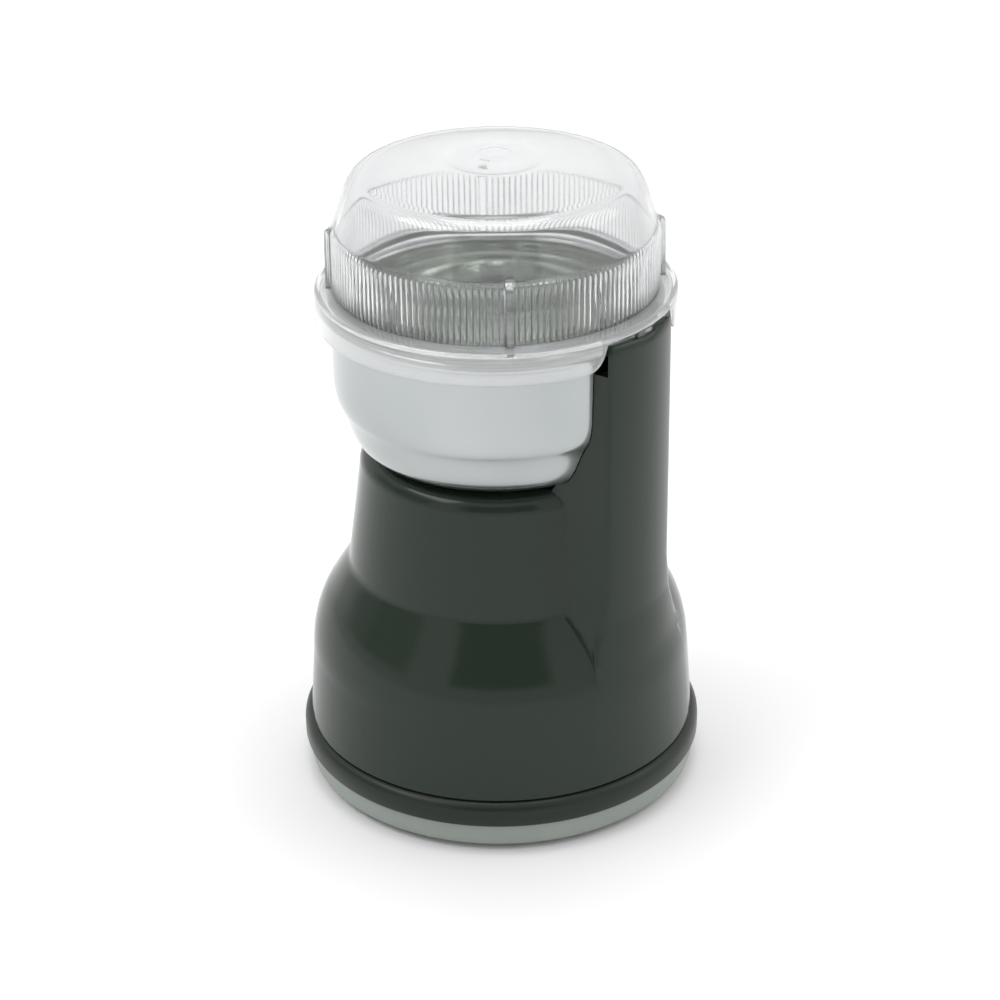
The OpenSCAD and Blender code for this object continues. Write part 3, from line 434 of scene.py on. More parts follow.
# %% Relax the foot of the spine
RELAX_TOP, RELAX_FADE, RELAX_SIDE, SIDE_FADE, ROUNDS = 52.0, 9.0, 70, 25, 40
turn_z = [Z_TURN + NECK_ROUND * math.sin(math.radians(a)) for a in range(9, 91, 9)]
bell_z, neck_z = np.linspace(15.6, Z_NECK, 50), np.linspace(60.0, Z_TURN, 26)
skin_z = np.concatenate([[Z_SEAM, 14.7], bell_z, neck_z, turn_z])
skin = np.array([skin_ring(z) for z in skin_z])
angle = np.arctan2(skin[..., 0], -skin[..., 1])
reach = np.hypot(skin[..., 0], skin[..., 1])
for level, z in enumerate(skin_z):
    if z < 46.0:
        reach[level] = np.maximum(reach[level], bell_radius(z))
low_pull = np.clip((RELAX_TOP - skin_z) / RELAX_FADE, 0, 1)
side_pull = np.clip((math.radians(RELAX_SIDE) - np.abs(angle)) / math.radians(SIDE_FADE), 0, 1)
pull = low_pull[:, None] * side_pull
pull[:2] = 0
for step in range(ROUNDS):
    along = 0.5 * (np.roll(reach, 1, axis=1) + np.roll(reach, -1, axis=1))
    up = reach.copy()
    up[1:-1] = 0.5 * (reach[2:] + reach[:-2])
    reach += 0.5 * pull * (0.6 * along + 0.4 * up - reach)
skin = np.stack([reach * np.sin(angle), -reach * np.cos(angle)], axis=-1)
print("relaxed", skin.shape, "widest", round(float(reach.max()), 2))

# %% [markdown]
# Above the deck only the spine goes on. Its back follows the bowl at a small distance. The top
# edge is rounded by five rings that shrink towards the middle of the spine.

# %% Rings of the upper spine
tower_z = [91.5, 92.3, 93, 94, 95.5, 97, 99, 101, 103, 104.5, 106, 107.5, 109, 114, 119, 124, 127.3, 127.5,
           128.4, 128.9, 129.6, 130.1, 130.42, 130.6]
top_round = {128.9: 0.05, 129.6: 0.3, 130.1: 0.65, 130.42: 1.05, 130.6: 1.6}
TOWER_MIDDLE, BACK_ROUND = np.array((0.0, -43.0)), 0.4
tower_front, tower_back = [], []
for z in tower_z:
    ring = np.array(spine_front(z, clear_radius(z)))
    inset = top_round.get(z, 0.0)
    inward = TOWER_MIDDLE - ring
    ring = ring + inward / np.linalg.norm(inward, axis=1, keepdims=True) * inset
    edge = math.atan2(ring[0][0], -ring[0][1])
    arc = np.linspace(edge, -edge, N_SPINE)
    tower_front.append(ring)
    back_radius = clear_radius(z) + min(inset, BACK_ROUND)
    tower_back.append(back_radius * np.stack([np.sin(arc), -np.cos(arc)], axis=1))
print("spine rings", len(tower_z))

# %% [markdown]
# The skin is joined into one closed shell: up the outside to the deck, round the spine's tower,
# across the deck, through the hole for the motor's hub, and back down the inside wall to the
# seam. A thickness modifier on an open skin would be quicker, but it can't make the deck. A
# closed shell has a real wall, and openings can be cut in it.

# %% Outer skin and tower
verts, faces = [], []


def add_points(points, z):
    start = len(verts)
    verts.extend((float(p[0]), float(p[1]), float(z)) for p in points)
    return list(range(start, len(verts)))


def join_rows(a, b, closed=True):
    count = len(a)
    for c in range(count if closed else count - 1):
        d = (c + 1) % count
        faces.append((a[c], a[d], b[d], b[c]))


def resized(ring, change):
    size = np.hypot(ring[:, 0], ring[:, 1])
    return ring * ((size + change) / size)[:, None]


SEAM_ROUND = 0.35
outer = [add_points(resized(skin[0], -SEAM_ROUND), Z_SEAM)]
outer += [add_points(ring, z) for ring, z in zip(skin[1:], skin_z[1:])]
for low, high in zip(outer[:-1], outer[1:]):
    join_rows(low, high)
deck_ring = outer[-1]
edge = math.atan2(skin[-1][0][0], -skin[-1][0][1])
arc = np.linspace(edge, -edge, N_SPINE)[1:-1]
back_points = add_points(clear_radius(Z_DECK) * np.stack([np.sin(arc), -np.cos(arc)], axis=1), Z_DECK)
back_row = [deck_ring[0]] + back_points + [deck_ring[N_SPINE - 1]]
deck_row = back_row + deck_ring[N_SPINE:]
front_row = deck_ring[:N_SPINE]
for z, front_ring, back_ring in zip(tower_z, tower_front, tower_back):
    front = add_points(front_ring, z)
    back_points = [front[0]] + add_points(back_ring[1:-1], z) + [front[-1]]
    join_rows(front_row, front, closed=False)
    join_rows(back_points, back_row, closed=False)
    front_row, back_row = front, back_points
for c in range(N_SPINE - 1):
    corner = [front_row[c], front_row[c + 1], back_row[c + 1], back_row[c]]
    faces.append(tuple(dict.fromkeys(corner)))
print("outside", len(faces), "faces")

# %% [markdown]
# Inside, the spine is solid down to a shelf, which carries the push rod's spring. Below the shelf
# the inside wall follows the outside at an even distance and leaves room for the switch. The
# count of open edges is printed at the end. It has to be 0, or the shell can't be cut.

# %% Deck, shelf and inside wall
SHELL_WALL, HUB_HOLE_R, DECK_MID_R = 2.2, 7.6, 20.0
turned = np.array([verts[i][:2] for i in deck_row])
deck_unit = turned / np.hypot(turned[:, 0], turned[:, 1])[:, None]
shelf_level = int(np.argmin(np.abs(skin_z - SHELF_LOW)))
shelf_ring = skin[shelf_level]
shelf_unit = shelf_ring / np.hypot(shelf_ring[:, 0], shelf_ring[:, 1])[:, None]
inside_rows = [(deck_unit * radius, z) for radius, z in (
    (DECK_MID_R, Z_DECK), (HUB_HOLE_R, Z_DECK), (HUB_HOLE_R, Z_DECK_LOW), (DECK_BACK_R, Z_DECK_LOW))]
inside_rows += [(shelf_unit * (bell_radius(z) - SHELL_WALL), z) for z in (Z_TURN, SHELF_LOW)]
inside_rows.append((resized(shelf_ring, -SHELL_WALL), SHELF_LOW))
for level in [*range(shelf_level - 2, 0, -3), 0]:
    inside_rows.append((resized(skin[level], -SHELL_WALL), skin_z[level]))
ring_row = deck_row
for points, z in inside_rows:
    below = add_points(points, z)
    join_rows(ring_row, below)
    ring_row = below
join_rows(ring_row, outer[0])
housing = piece_from("housing", verts, faces, sharp_deg=32.0)
check = bmesh.new()
check.from_mesh(housing.data)
print("open edges", sum(not e.is_manifold for e in check.edges))
check.free()

# %% [markdown]
# Openings are cut with simple solids and the Boolean modifier, as a milling cutter would. Rings
# of points with the openings left out would be possible too, but far harder to read. The modifier
# is applied at once, so the housing stays one plain mesh.

# %% Cutting tools
def block(low, high):
    (x0, y0, z0), (x1, y1, z1) = low, high
    corners = [(x, y, z) for z in (z0, z1) for y in (y0, y1) for x in (x0, x1)]
    sides = [(0, 2, 3, 1), (4, 5, 7, 6), (0, 1, 5, 4), (2, 6, 7, 3), (0, 4, 6, 2), (1, 3, 7, 5)]
    return piece_from("cutter", corners, sides)


def bar_y(radius, x, z, y0, y1, sides=48):
    turns = [2 * math.pi * k / sides for k in range(sides)]
    v = [(x + radius * math.cos(a), y, z + radius * math.sin(a)) for y in (y0, y1) for a in turns]
    f = grid_faces(2, sides) + [tuple(range(sides)), tuple(range(2 * sides - 1, sides - 1, -1))]
    return piece_from("cutter", v, f)


def cut(ob, cutters, sharp_deg=32.0):
    for tool in cutters:
        step = ob.modifiers.new("cut", "BOOLEAN")
        step.operation = "DIFFERENCE"
        step.solver = "EXACT"
        step.object = tool
    bpy.context.view_layer.update()
    done = ob.evaluated_get(bpy.context.evaluated_depsgraph_get())
    mesh = bpy.data.meshes.new_from_object(done)
    ob.modifiers.clear()
    old, ob.data = ob.data, mesh
    bpy.data.meshes.remove(old)
    for tool in cutters:
        bpy.data.objects.remove(tool)
    mesh.set_sharp_from_angle(angle=math.radians(sharp_deg))
    return ob


# %% [markdown]
# The openings are the channel and the slot for the push rod, the way for the rod's stem, the slot
# for the lid's lug in the top, a small notch in the left side and the hole for the cord's gland.

# %% Cut the openings
rod_channel = block((-9.5, -43.6, 84.5), (9.5, -35.3, 128.6))
rod_slot = block((-4.2, -44.95, 84.4), (4.2, -40.0, 128.5))
stem_way = block((-1.8, -43.0, 81.0), (1.8, -36.6, 85.0))
lug_slot = block((-3.3, -44.8, 127.0), (3.3, -40.0, 131.5))
side_notch = block((-15.0, -42.7, 123.4), (-9.0, -36.0, 128.8))
gland_hole = bar_y(4.7, 0.0, 23.3, 44.0, 54.0)
cut(housing, [rod_channel, rod_slot, stem_way, lug_slot, side_notch, gland_hole])
finish_piece(housing, "housing", housing_plastic, ["body_shell"])

# %% [markdown]
# ## The base
# A dark ring and a pale foot close the bottom. The ring is a turned part with a softly rounded
# edge, so a lathe profile is enough. It stands out past the housing, and the thin dark line
# between them is a real gap. The pale foot is a shallow tray with air slots, screw posts and four
# rubber feet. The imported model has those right, so they stay and only get materials.

# %% Ring
ring_profile = [(46.0, 6.4), (48.6, 6.4), (48.6, 7.9), (51.2, 7.9), (51.75, 8.05), (52.0, 8.5), (52.0, 11.4),
                (51.9, 12.2), (51.6, 12.95), (51.1, 13.6), (50.5, 14.02), (49.85, 14.18), (49.3, 14.2),
                (48.0, 14.2), (47.7, 17.3), (46.0, 17.3), (46.0, 6.4)]
ring = lathe("base_trim", ring_profile, 240, sharp_deg=40.0)
finish_piece(ring, "housing", ring_plastic, ["base_ring"])
print("ring widest", max(p[0] for p in ring_profile))

# %% [markdown]
# ## The bowl
# The bowl is spun steel, brushed outside and polished inside. Brushing leaves fine lines around
# it. Real scratches would be too fine to model, so a noise that is stretched along the turns
# changes the gloss and a very low bump.

# %% Finish of the bowl
def brushed_bowl(name, dark, light, rough):
    f = Finish(name)
    f.shader.inputs["Metallic"].default_value = 1.0
    wide = f.noise(26.0, 2.0)
    f.link(f.tones(wide, dark, light), f.shader.inputs["Base Color"])
    lines = f.noise(60.0, 4.0, f.stretched((1.0, 1.0, 60.0)))
    mixed = f.node("ShaderNodeMath", operation="ADD")
    f.link(wide, mixed.inputs[0])
    f.link(lines, mixed.inputs[1])
    f.link(f.between(mixed.outputs[0], *rough, 0.6, 1.4), f.shader.inputs["Roughness"])
    f.bump(lines, 0.05, 0.000008)
    return f.mat


bowl_steel = brushed_bowl("bowl_steel", (0.42, 0.445, 0.445), (0.48, 0.505, 0.505), (0.13, 0.21))
bowl_inside = brushed_bowl("bowl_inside", (0.50, 0.530, 0.490), (0.60, 0.630, 0.590), (0.04, 0.09))
print("steel for the bowl", len(bowl_steel.node_tree.nodes), "nodes")

# %% [markdown]
# The bowl's profile is walked once round: along the floor and up the outside, over the rolled
# rim, down the inside and back along the floor. The inside is the outside moved in by the sheet's
# thickness. The middle stays open for the shaft. Faces that look inwards get the polished steel.

# %% Bowl
SHEET, HUB_R = 0.8, 7.3
rim = [(40.8, 127.0), (41.1, 127.9), (41.6, 128.3), (42.2, 128.35), (42.55, 128.7), (42.6, 129.15),
       (42.4, 129.6), (41.9, 129.86), (41.2, 129.9), (40.6, 129.75), (40.2, 129.3), (40.0, 128.6)]
outside = [(HUB_R, BOWL_FLOOR_Z), (18.0, BOWL_FLOOR_Z)] + BOWL_SIDE + [(BOWL_R, 117.0), (BOWL_R, 122.0)]
inside = [(BOWL_R - SHEET, z) for z in (122.0, 117.0)] + inset_profile(BOWL_SIDE, SHEET)[::-1]
inside += [(r, BOWL_FLOOR_Z + SHEET) for r in (24.0, 14.0, HUB_R)] + [(HUB_R, BOWL_FLOOR_Z)]
bowl = lathe("bowl_shell", outside + rim + inside, 240, sharp_deg=50.0)
finish_piece(bowl, "housing", bowl_steel, ["bowl"])
bowl.data.materials.append(bowl_inside)
for face in bowl.data.polygons:
    centre = face.center / MM
    looks_in = face.normal.dot(Vector((-centre.x, -centre.y, 12.0)).normalized()) > 0.0
    if looks_in and 92.7 < centre.z < 129.3:
        face.material_index = 1
print("inside faces", sum(p.material_index for p in bowl.data.polygons))

# %% [markdown]
# ## The lid
# The lid is one clear moulding. Glass-clear plastic lets most light through, bends it, and takes
# a little of it away on the way, so the finish is a shader with transmission and a volume behind
# it that absorbs. The ledge and the skirt are slightly frosted, and they get a finish of their own.

# %% Clear plastic
ABSORBED = (0.60, 0.64, 0.67, 1)


def clear_plastic(name, dark, light, rough, through, density):
    f = Finish(name)
    f.link(f.tones(f.noise(14.0), dark, light), f.shader.inputs["Base Color"])
    f.link(f.between(f.noise(60.0), *rough), f.shader.inputs["Roughness"])
    f.shader.inputs["Transmission Weight"].default_value = through
    f.shader.inputs["IOR"].default_value = 1.49
    f.bump(f.noise(120.0, 2.0), 0.05, 0.00002)
    volume = f.node("ShaderNodeVolumeAbsorption", Density=density)
    volume.inputs["Color"].default_value = ABSORBED
    f.link(volume.outputs["Volume"], f.tree.nodes["Material Output"].inputs["Volume"])
    return f.mat


lid_clear = clear_plastic("lid_clear", (0.955, 0.962, 0.966), (0.968, 0.974, 0.978),
                          rough=(0.03, 0.06), through=0.93, density=28.0)
skirt_frosted = clear_plastic("skirt_frosted", (0.982, 0.986, 0.988), (0.990, 0.993, 0.995),
                              rough=(0.10, 0.15), through=0.80, density=5.0)
print("clear plastic", len(lid_clear.node_tree.nodes), "nodes")

# %% [markdown]
# The lid's profile goes round in four runs: the skirt and ledge, the upright collar, the dome's
# side with its slightly domed crown, and the inside. Some heights are words in place of numbers.
# They mark the skirt's lower edge, which isn't level: it climbs into the cut-out at the spine. In
# the crown's middle are a shallow dimple on top, where the plastic was fed in, and a low step
# on the inner face.

# %% Lid profile
WALL, LEDGE_LOW, LEDGE, COLLAR_TOP, CROWN = 1.5, 131.9, 133.4, 148.3, 166.1
SKIRT_IN, COLLAR_IN, STEP_DEPTH, STEP_R, STEP_RUN = 43.1, 38.25, 0.10, 12.2, 1.6
EDGE_RISE = {"low": 0.0, "low+": 0.12, "low++": 0.4}


def crown_height(radius):
    return CROWN - 4.3 * (radius / 32.0) ** 2


def stepped(radius, height):
    return radius, height - STEP_DEPTH * min(1.0, max(0.0, (STEP_R - radius) / STEP_RUN))


skirt_out = [(SKIRT_IN, "low"), (43.5, "low"), (44.2, "low"), (44.5, "low+"), (44.6, "low++"), (44.6, 132.4),
             (44.45, 132.95), (44.05, 133.3), (43.4, LEDGE), (42.2, LEDGE)]
collar_out = [  # radius of a rib, height, share of the flutes' depth, rounding at the top
    (41.75, LEDGE, 0.4, 0.0), (41.72, 133.75, 1.0, 0.0), (41.68, 137.0, 1.0, 0.0), (41.62, 145.0, 1.0, 0.0),
    (41.6, 146.7, 1.0, 0.0), (41.58, 147.4, 0.9, 0.0), (41.45, 147.9, 0.65, 0.05), (41.2, 148.2, 0.35, 0.15),
    (40.85, COLLAR_TOP, 0.1, 0.28)]
dome_side = curve_points((39.8, COLLAR_TOP), (37.3, 154.6), (36.9, 161.6), (32.0, 161.8), 16)
outer_crown = [(r, crown_height(r)) for r in (30.2, 28.5, 25.0, 21.0, 17.0, 13.5, 11.0, 8.0, 5.4)]
gate = [(4.7, 166.0), (4.4, 165.99), (4.1, 165.99), (3.8, 166.0), (3.2, 166.04), (2.4, 166.08), (1.0, 166.1)]
inner_radii = (30.2, 28.5, 25.0, 21.0, 17.0, 13.5, 12.0, 11.2, 11.0, 8.0, 5.0, 2.0)
inner_crown = [(r, crown_height(r)) for r in inner_radii]
inner = [stepped(*p) for p in reversed(inset_profile(dome_side + inner_crown, WALL))]
shoulder_rows = [(42.9, 131.6), (SKIRT_IN, 131.0)]
inner += [(COLLAR_IN, 140.0), (COLLAR_IN, 134.6), (38.4, 132.6), (38.8, LEDGE_LOW), (42.4, LEDGE_LOW)]
inner += shoulder_rows + [(SKIRT_IN, "low++")]
print("profile", sum(map(len, (skirt_out, collar_out, dome_side, outer_crown, gate, inner))), "points")

# %% [markdown]
# Two things change with the angle. The skirt's edge climbs beside the spine with a round corner,
# and two columns of points are moved onto each upright side of that cut-out, so its corners come
# out crisp. The collar carries four grip ribs between its flutes.

# %% Cut-out and ribs
FLUTES, STEPS, COARSE = 168, 8, 4
SKIRT_LOW, CUT_HALF, CUT_ROUND, CUT_PAIR = 125.05, 13.3, 5.8, 0.0009
RIB_FIRST, RIB_HALF, RIB_RAMP, RIB_R = -138.0, 1.25, 0.38, 41.0


def cut_height(x, y):
    """Height of the skirt's lower edge."""
    if y > 0 or abs(x) >= CUT_HALF + CUT_ROUND:
        return SKIRT_LOW
    if abs(x) <= CUT_HALF:
        return LEDGE_LOW - 0.05
    d = CUT_HALF + CUT_ROUND - abs(x)
    return SKIRT_LOW + CUT_ROUND - math.sqrt(max(0.0, CUT_ROUND**2 - d**2))


def lid_columns():
    """Evenly spaced angles, with two of them moved onto each upright edge of the cut-out."""
    count = FLUTES * COARSE
    angles = [2 * math.pi * c / count - math.pi / 2 for c in range(count)]
    edge = math.asin(CUT_HALF / 43.9)
    for side in (-1, 1):
        target = -math.pi / 2 + side * edge
        order = sorted(range(count), key=lambda c: abs(math.remainder(angles[c] - target, 2 * math.pi)))[:2]
        order.sort(key=lambda c: side * math.remainder(angles[c] + math.pi / 2, 2 * math.pi))
        angles[order[0]], angles[order[1]] = target - side * CUT_PAIR, target + side * CUT_PAIR
    return angles


def rib_share(a):
    """1 on a rib, 0 beside it, with a short ramp between."""
    for k in range(4):
        gap = abs(math.remainder(a - math.radians(RIB_FIRST + 90 * k), 2 * math.pi)) * RIB_R
        if gap < RIB_HALF:
            return min(1.0, (RIB_HALF - gap) / RIB_RAMP)
    return 0.0


print("columns", len(lid_columns()), "smooth and", FLUTES * STEPS, "fluted")

# %% [markdown]
# Each flute is a slim half round and needs eight columns, but the plain rows need only half as
# many. So there are two kinds of row. The two densities meet in one row of wider faces above and
# one below the collar.

# %% Rows of the lid
FLUTE_R, FLUTE_DEPTH, COLLAR_DRAFT = 40.2, 0.42, 0.1


def plain_row(r0, z0):
    points = []
    for a in lid_columns():
        x, y = r0 * math.cos(a), r0 * math.sin(a)
        z = z0
        if z0 in EDGE_RISE:
            z = min(cut_height(x, y) + EDGE_RISE[z0], LEDGE_LOW + (0.0 if r0 < 43.2 else 0.3))
        elif (r0, z0) in shoulder_rows:
            z = max(z0, min(LEDGE_LOW, cut_height(x, y) + 0.45))
        points.append((x, y, z))
    return points


def fluted_row(r0, z0, share, rounding):
    points = []
    count = FLUTES * STEPS
    plain = FLUTE_R - rounding - COLLAR_DRAFT * (z0 - LEDGE) / (COLLAR_TOP - LEDGE)
    for c in range(count):
        a = 2 * math.pi * c / count - math.pi / 2
        across = 2 * (c % STEPS) / STEPS - 1
        r = plain - FLUTE_DEPTH * share * (1 - math.sqrt(max(0.0, 1 - across * across)))
        r += (r0 - r) * rib_share(a)
        points.append((r * math.cos(a), r * math.sin(a), z0))
    return points


rows = [plain_row(*p) for p in skirt_out]
rows += [fluted_row(*p) for p in collar_out]
rows += [plain_row(*p) for p in dome_side[1:] + outer_crown + gate]
first_inner = len(rows)
rows += [plain_row(*p) for p in inner]
print("rows", len(rows), "outside", first_inner)

# %% [markdown]
# The rows are now joined, and the middle of the crown is closed with one face on each side. The
# last row meets the first at the skirt's lower edge, so the lid is a closed solid. Clear material
# needs that: light has to know where it enters and where it leaves.

# %% Lid
starts = np.cumsum([0] + [len(r) for r in rows])
lid_faces = []
for i in range(len(rows)):
    j = (i + 1) % len(rows)
    n, m = len(rows[i]), len(rows[j])
    if i == first_inner - 1:
        continue
    small, ratio = min(n, m), max(n, m) // min(n, m)
    for c in range(small):
        d = (c + 1) % small
        if n == m:
            lid_faces.append((starts[i] + c, starts[i] + d, starts[j] + d, starts[j] + c))
        elif n < m:
            wide = [starts[j] + (c * ratio + k) % m for k in range(ratio, -1, -1)]
            lid_faces.append((starts[i] + c, starts[i] + d, *wide))
        else:
            wide = [starts[i] + (c * ratio + k) % n for k in range(ratio + 1)]
            lid_faces.append((*wide, starts[j] + d, starts[j] + c))
for i in (first_inner - 1, first_inner):
    lid_faces.append(tuple(starts[i] + c for c in range(len(rows[i]))))
lid = piece_from("lid_shell", [p for row in rows for p in row], lid_faces, sharp_deg=38.0)
finish_piece(lid, "cover", lid_clear, ["lid"])
lid.data.materials.append(skirt_frosted)
FROST_TOP, FROST_R = 133.6, 40.8
for face in lid.data.polygons:
    centre = face.center / MM
    if centre.z < FROST_TOP and math.hypot(centre.x, centre.y) > FROST_R:
        face.material_index = 1
print("frosted faces", sum(p.material_index for p in lid.data.polygons))

# %% [markdown]
# A small lug under the lid reaches through the slot in the spine's top and pushes the rod. It is
# a short bar with bevelled edges. The bevel is what catches the light on so small a piece.

# %% Lug
def rounded_bar(name, low, high, edge=0.25):
    bm = bmesh.new()
    bmesh.ops.create_cube(bm, size=1.0)
    lo, hi = Vector(low) * MM, Vector(high) * MM
    for v in bm.verts:
        v.co = Vector((lo[i] + (hi[i] - lo[i]) * (v.co[i] + 0.5) for i in range(3)))
    bmesh.ops.bevel(bm, geom=bm.edges[:], offset=edge * MM, segments=3, affect="EDGES", profile=0.5)
    mesh = bpy.data.meshes.new(name)
    bm.to_mesh(mesh)
    bm.free()
    return linked(name, mesh, 40.0)


lug = rounded_bar("lid_lug", (-3.0, -44.45, 127.62), (3.0, -43.15, 131.85))
finish_piece(lug, "cover", lid_clear)

# %% [markdown]
# ## The parts inside
# Most of the machine is hidden, but every part still gets a finish that fits what it is made of.
# Several parts share one, so the finishes are kept in a table by the slot that the model's record
# gives each part.

# %% Finishes of the inner parts
RECIPES = [
    # kind, name, dark tone, light tone, range of roughness, and what differs from the recipe
    (metal, "blade_steel", (0.62, 0.63, 0.64), (0.75, 0.76, 0.77), (0.12, 0.22)),
    (metal, "screw_steel", (0.45, 0.46, 0.47), (0.58, 0.59, 0.60), (0.3, 0.45)),
    (metal, "lamination", (0.16, 0.16, 0.165), (0.26, 0.26, 0.27), (0.4, 0.6), (1, 1, 40)),
    (metal, "copper_wire", (0.42, 0.13, 0.04), (0.62, 0.24, 0.08), (0.25, 0.4), (1, 12, 12)),
    (metal, "copper_bar", (0.55, 0.24, 0.10), (0.70, 0.36, 0.18), (0.2, 0.35)),
    (metal, "bronze", (0.45, 0.27, 0.10), (0.58, 0.36, 0.15), (0.35, 0.5)),
    (metal, "brass_sheet", (0.58, 0.56, 0.49), (0.70, 0.68, 0.61), (0.2, 0.32)),
    (metal, "cast_bracket", (0.45, 0.46, 0.47), (0.56, 0.57, 0.58), (0.45, 0.6), (1, 1, 1), 900.0, 0.00004),
    (metal, "spring_steel", (0.50, 0.51, 0.52), (0.62, 0.63, 0.64), (0.2, 0.3)),
    (moulded, "bracket_plastic", (0.014, 0.014, 0.017), (0.024, 0.024, 0.028), (0.45, 0.6)),
    (moulded, "switch_plastic", (0.010, 0.011, 0.012), (0.018, 0.019, 0.021), (0.35, 0.5)),
    (moulded, "rod_plastic", (0.010, 0.010, 0.010), (0.018, 0.018, 0.018), (0.35, 0.5)),
    (moulded, "button_red", (0.30, 0.010, 0.007), (0.40, 0.018, 0.012), (0.25, 0.35)),
    (moulded, "fan_grey", (0.06, 0.07, 0.08), (0.09, 0.10, 0.11), (0.4, 0.5)),
    (moulded, "block_white", (0.58, 0.58, 0.50), (0.68, 0.68, 0.60), (0.35, 0.5)),
    (moulded, "cap_yellow", (0.50, 0.27, 0.02), (0.62, 0.35, 0.035), (0.2, 0.35)),
    (moulded, "wire_blue", (0.012, 0.025, 0.16), (0.02, 0.04, 0.24), (0.35, 0.5)),
    (moulded, "rubber_black", (0.008, 0.008, 0.008), (0.016, 0.016, 0.016), (0.6, 0.8), 900.0, 0.00003),
    (moulded, "carbon", (0.010, 0.010, 0.011), (0.020, 0.020, 0.022), (0.5, 0.65)),
]
inner_finishes = {name: kind(name, *values) for kind, name, *values in RECIPES}
inner_finishes.update(housing_grey=housing_plastic, ring_dark=ring_plastic, base_pale=base_plastic,
                      bowl_steel=bowl_steel, lid_clear=lid_clear)
for part in frame["record"]["subparts"]:
    node = frame["nodes"][part["node"]]
    node.data.materials.clear()
    node.data.materials.append(inner_finishes[part["material_slot"]])
    for p in node.data.polygons:
        p.use_smooth = True
    node.data.set_sharp_from_angle(angle=math.radians(30))

# %% [markdown]
# The return spring under the push rod is the one inner part that changes its shape: it gets
# shorter as the rod goes down. So it is built again as a coil, a small circle carried up a helix,
# with a mesh of its own. Its foot stands on the shelf.

# %% Return spring
SPRING_FOOT, SPRING_Y, SPRING_LENGTH, PRESS = 84.5, -41.2, 9.95, 1.0
WIRE, COIL, TURNS, COIL_STEPS, WIRE_SIDES = 0.35, 2.5, 5, 40, 8
low, rise = SPRING_FOOT + 0.05 + WIRE, (SPRING_LENGTH - 0.05 - 2 * WIRE) / TURNS
coil_points = []
for i in range(TURNS * COIL_STEPS + 1):
    a = 2 * math.pi * i / COIL_STEPS
    out = np.array((math.cos(a), math.sin(a), 0.0))
    along = np.array((-math.sin(a), math.cos(a), rise / (2 * math.pi * COIL)))
    side = np.cross(along / np.linalg.norm(along), out)
    centre = out * COIL + np.array((0.0, SPRING_Y, low + rise * i / COIL_STEPS))
    for k in range(WIRE_SIDES):
        b = 2 * math.pi * k / WIRE_SIDES
        coil_points.append(centre + WIRE * (out * math.cos(b) + side * math.sin(b)))
coil_faces = grid_faces(TURNS * COIL_STEPS + 1, WIRE_SIDES)
coil_faces += [tuple(range(WIRE_SIDES)), tuple(range(len(coil_points) - WIRE_SIDES, len(coil_points)))]
spring = piece_from("return_spring", coil_points, coil_faces)
finish_piece(spring, "housing", inner_finishes["spring_steel"], ["rod_spring"])
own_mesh(spring)
print("spring length", SPRING_LENGTH, "mm at rest and", SPRING_LENGTH - PRESS, "mm pressed")

# %% [markdown]
# ## The studio
# The grinder stands on a wide white floor. It is one large sheet of matt paper, a little off pure
# white, so that soft shadows can still be seen on it.

# %% Floor
FLOOR_HALF = 4
corners = [(-FLOOR_HALF, -FLOOR_HALF, 0), (FLOOR_HALF, -FLOOR_HALF, 0), (FLOOR_HALF, FLOOR_HALF, 0),
           (-FLOOR_HALF, FLOOR_HALF, 0)]
floor_mesh = bpy.data.meshes.new("studio_floor")
floor_mesh.from_pydata(corners, [], [(0, 1, 2, 3)])
floor = bpy.data.objects.new("studio_floor", floor_mesh)
bpy.context.scene.collection.objects.link(floor)
floor.location.z = -0.0001
paper = Finish("floor_paper")
paper_white = paper.tones(paper.noise(3.0), (0.90, 0.90, 0.90), (0.915, 0.915, 0.915))
paper.link(paper_white, paper.shader.inputs["Base Color"])
paper.shader.inputs["Roughness"].default_value = 0.9
paper.shader.inputs["Specular IOR Level"].default_value = 0.1
floor.data.materials.append(paper.mat)
print("floor", 2 * FLOOR_HALF, "m wide")

# %% [markdown]
# Three large, weak lights lift the floor and draw the soft edges. The larger a light is, the
# softer its shadow. One stands behind on the left, one hangs nearly overhead and a little behind,
# and one fills from the front right. Their mirror images are what gives the dark plastic shape.

# %% Lights
LIGHTS = [
    # name, azimuth, elevation, distance in m, width, height, power in W
    ("key_left", -125, 52, 1.4, 0.9, 0.5, 4.0),
    ("top_light", 128, 80, 1.3, 0.7, 0.7, 5.2),
    ("fill_right", 40, 35, 1.5, 0.8, 1.0, 2.2),
]
LIT_POINT = Vector((0, 0, 0.08))
for name, azimuth, elevation, distance, width, height, power in LIGHTS:
    data = bpy.data.lights.new(name, "AREA")
    data.shape = "RECTANGLE"
    data.size, data.size_y, data.energy = width, height, power
    light = bpy.data.objects.new(name, data)
    bpy.context.scene.collection.objects.link(light)
    out = direction(azimuth, elevation)
    light.location = LIT_POINT + out * distance
    light.rotation_euler = out.to_track_quat("Z", "Y").to_euler()
print("lights", [row[0] for row in LIGHTS])

# %% [markdown]
# The rest of the light comes from the room, and that is painted on the world. A glossy dark piece
# shows mostly what is round it, so a plain white room would make it look flat. Three darker walls
# give it depth, and the main one shows as a soft dark shape on the shoulder. The azimuth and
# height of each direction are worked out from its vector, and each wall is a smooth window in
# those two angles. All walls stay above the horizon, so low views keep a clean background.

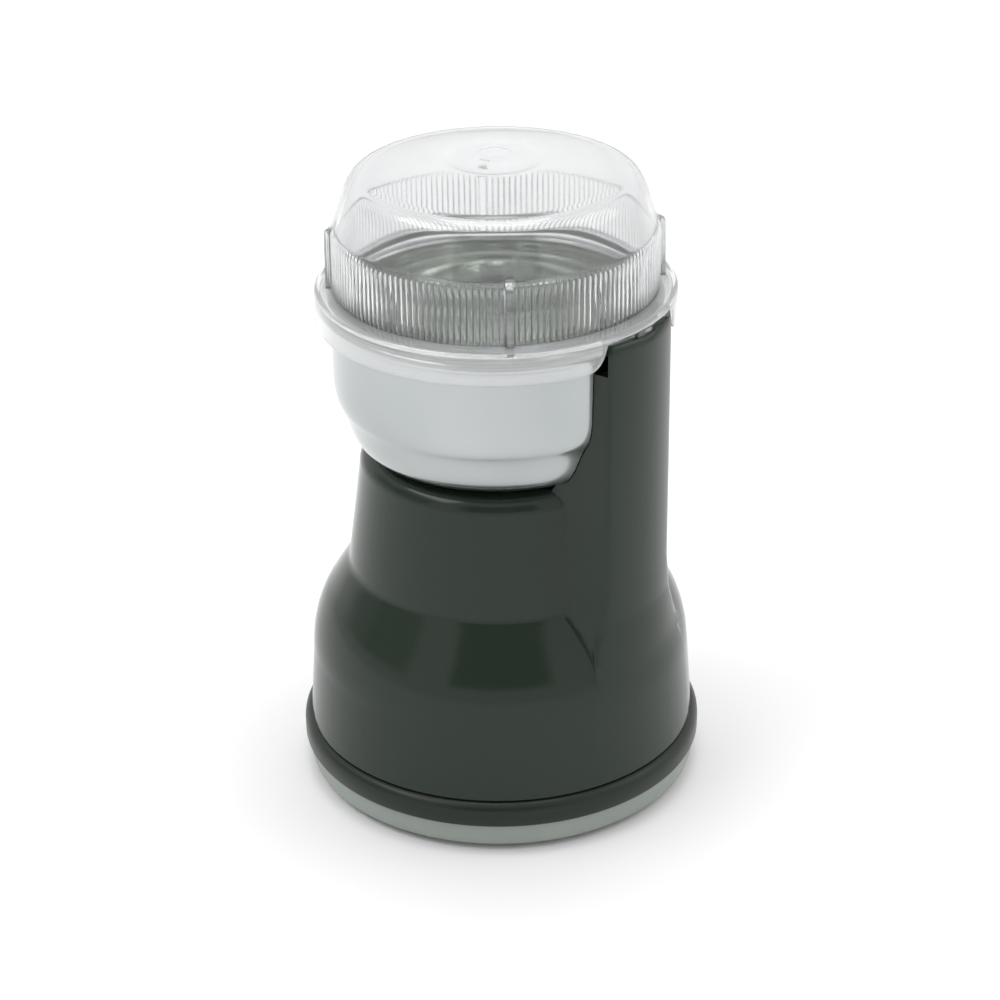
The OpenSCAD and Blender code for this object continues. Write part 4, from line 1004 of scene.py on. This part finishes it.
# %% The room
ROOM_STRENGTH = 0.96
WALLS = [
    # azimuth and half width, height and half height, softness, all in degrees, and how much darker
    (-52, 31, 26, 17, 3, 0.72),
    (-128, 17, 19, 12, 4, 0.5),
    (-157, 15, 16, 10, 5, 0.4),
]
print("walls", len(WALLS))

# %% [markdown]
# The world's nodes do the same sums for every direction, so two small helpers keep them short.

# %% Helpers for the world's nodes
world = bpy.data.worlds.new("studio_world")
bpy.context.scene.world = world
world.use_nodes = True
room = world.node_tree
background = room.nodes["Background"]
background.inputs["Color"].default_value = (1.0, 1.0, 1.0, 1)


def sum_node(kind, a, b=None):
    """One step of arithmetic. Each value is a number or another node's output."""
    n = room.nodes.new("ShaderNodeMath")
    n.operation = kind
    for slot, value in zip(n.inputs, (a, b)):
        if isinstance(value, (int, float)):
            slot.default_value = value
        elif value is not None:
            room.links.new(value, slot)
    return n.outputs[0]


def angle_window(source, middle, half, soft):
    """1 inside the window, 0 outside, with a smooth edge."""
    away = sum_node("ABSOLUTE", sum_node("SUBTRACT", source, math.radians(middle)))
    n = room.nodes.new("ShaderNodeMapRange")
    n.interpolation_type = "SMOOTHSTEP"
    edges = (math.radians(half - soft), math.radians(half + soft), 1.0, 0.0)
    for socket, value in zip(("From Min", "From Max", "To Min", "To Max"), edges):
        n.inputs[socket].default_value = value
    room.links.new(away, n.inputs["Value"])
    return n.outputs["Result"]


# %% Paint the room
coords = room.nodes.new("ShaderNodeTexCoord")
parts = room.nodes.new("ShaderNodeSeparateXYZ")
room.links.new(coords.outputs["Generated"], parts.inputs[0])
facing = sum_node("ARCTAN2", parts.outputs["X"], sum_node("MULTIPLY", parts.outputs["Y"], -1.0))
height = sum_node("ARCSINE", parts.outputs["Z"])
strength = ROOM_STRENGTH
for azimuth, half_width, middle, half_height, soft, darker in WALLS:
    wide = angle_window(facing, azimuth, half_width, soft)
    wall = sum_node("MULTIPLY", wide, angle_window(height, middle, half_height, soft))
    kept = sum_node("SUBTRACT", 1.0, sum_node("MULTIPLY", wall, darker))
    strength = sum_node("MULTIPLY", strength, kept)
room.links.new(strength, background.inputs["Strength"])
bpy.context.scene.view_settings.view_transform = "Standard"
print("room nodes", len(room.nodes))
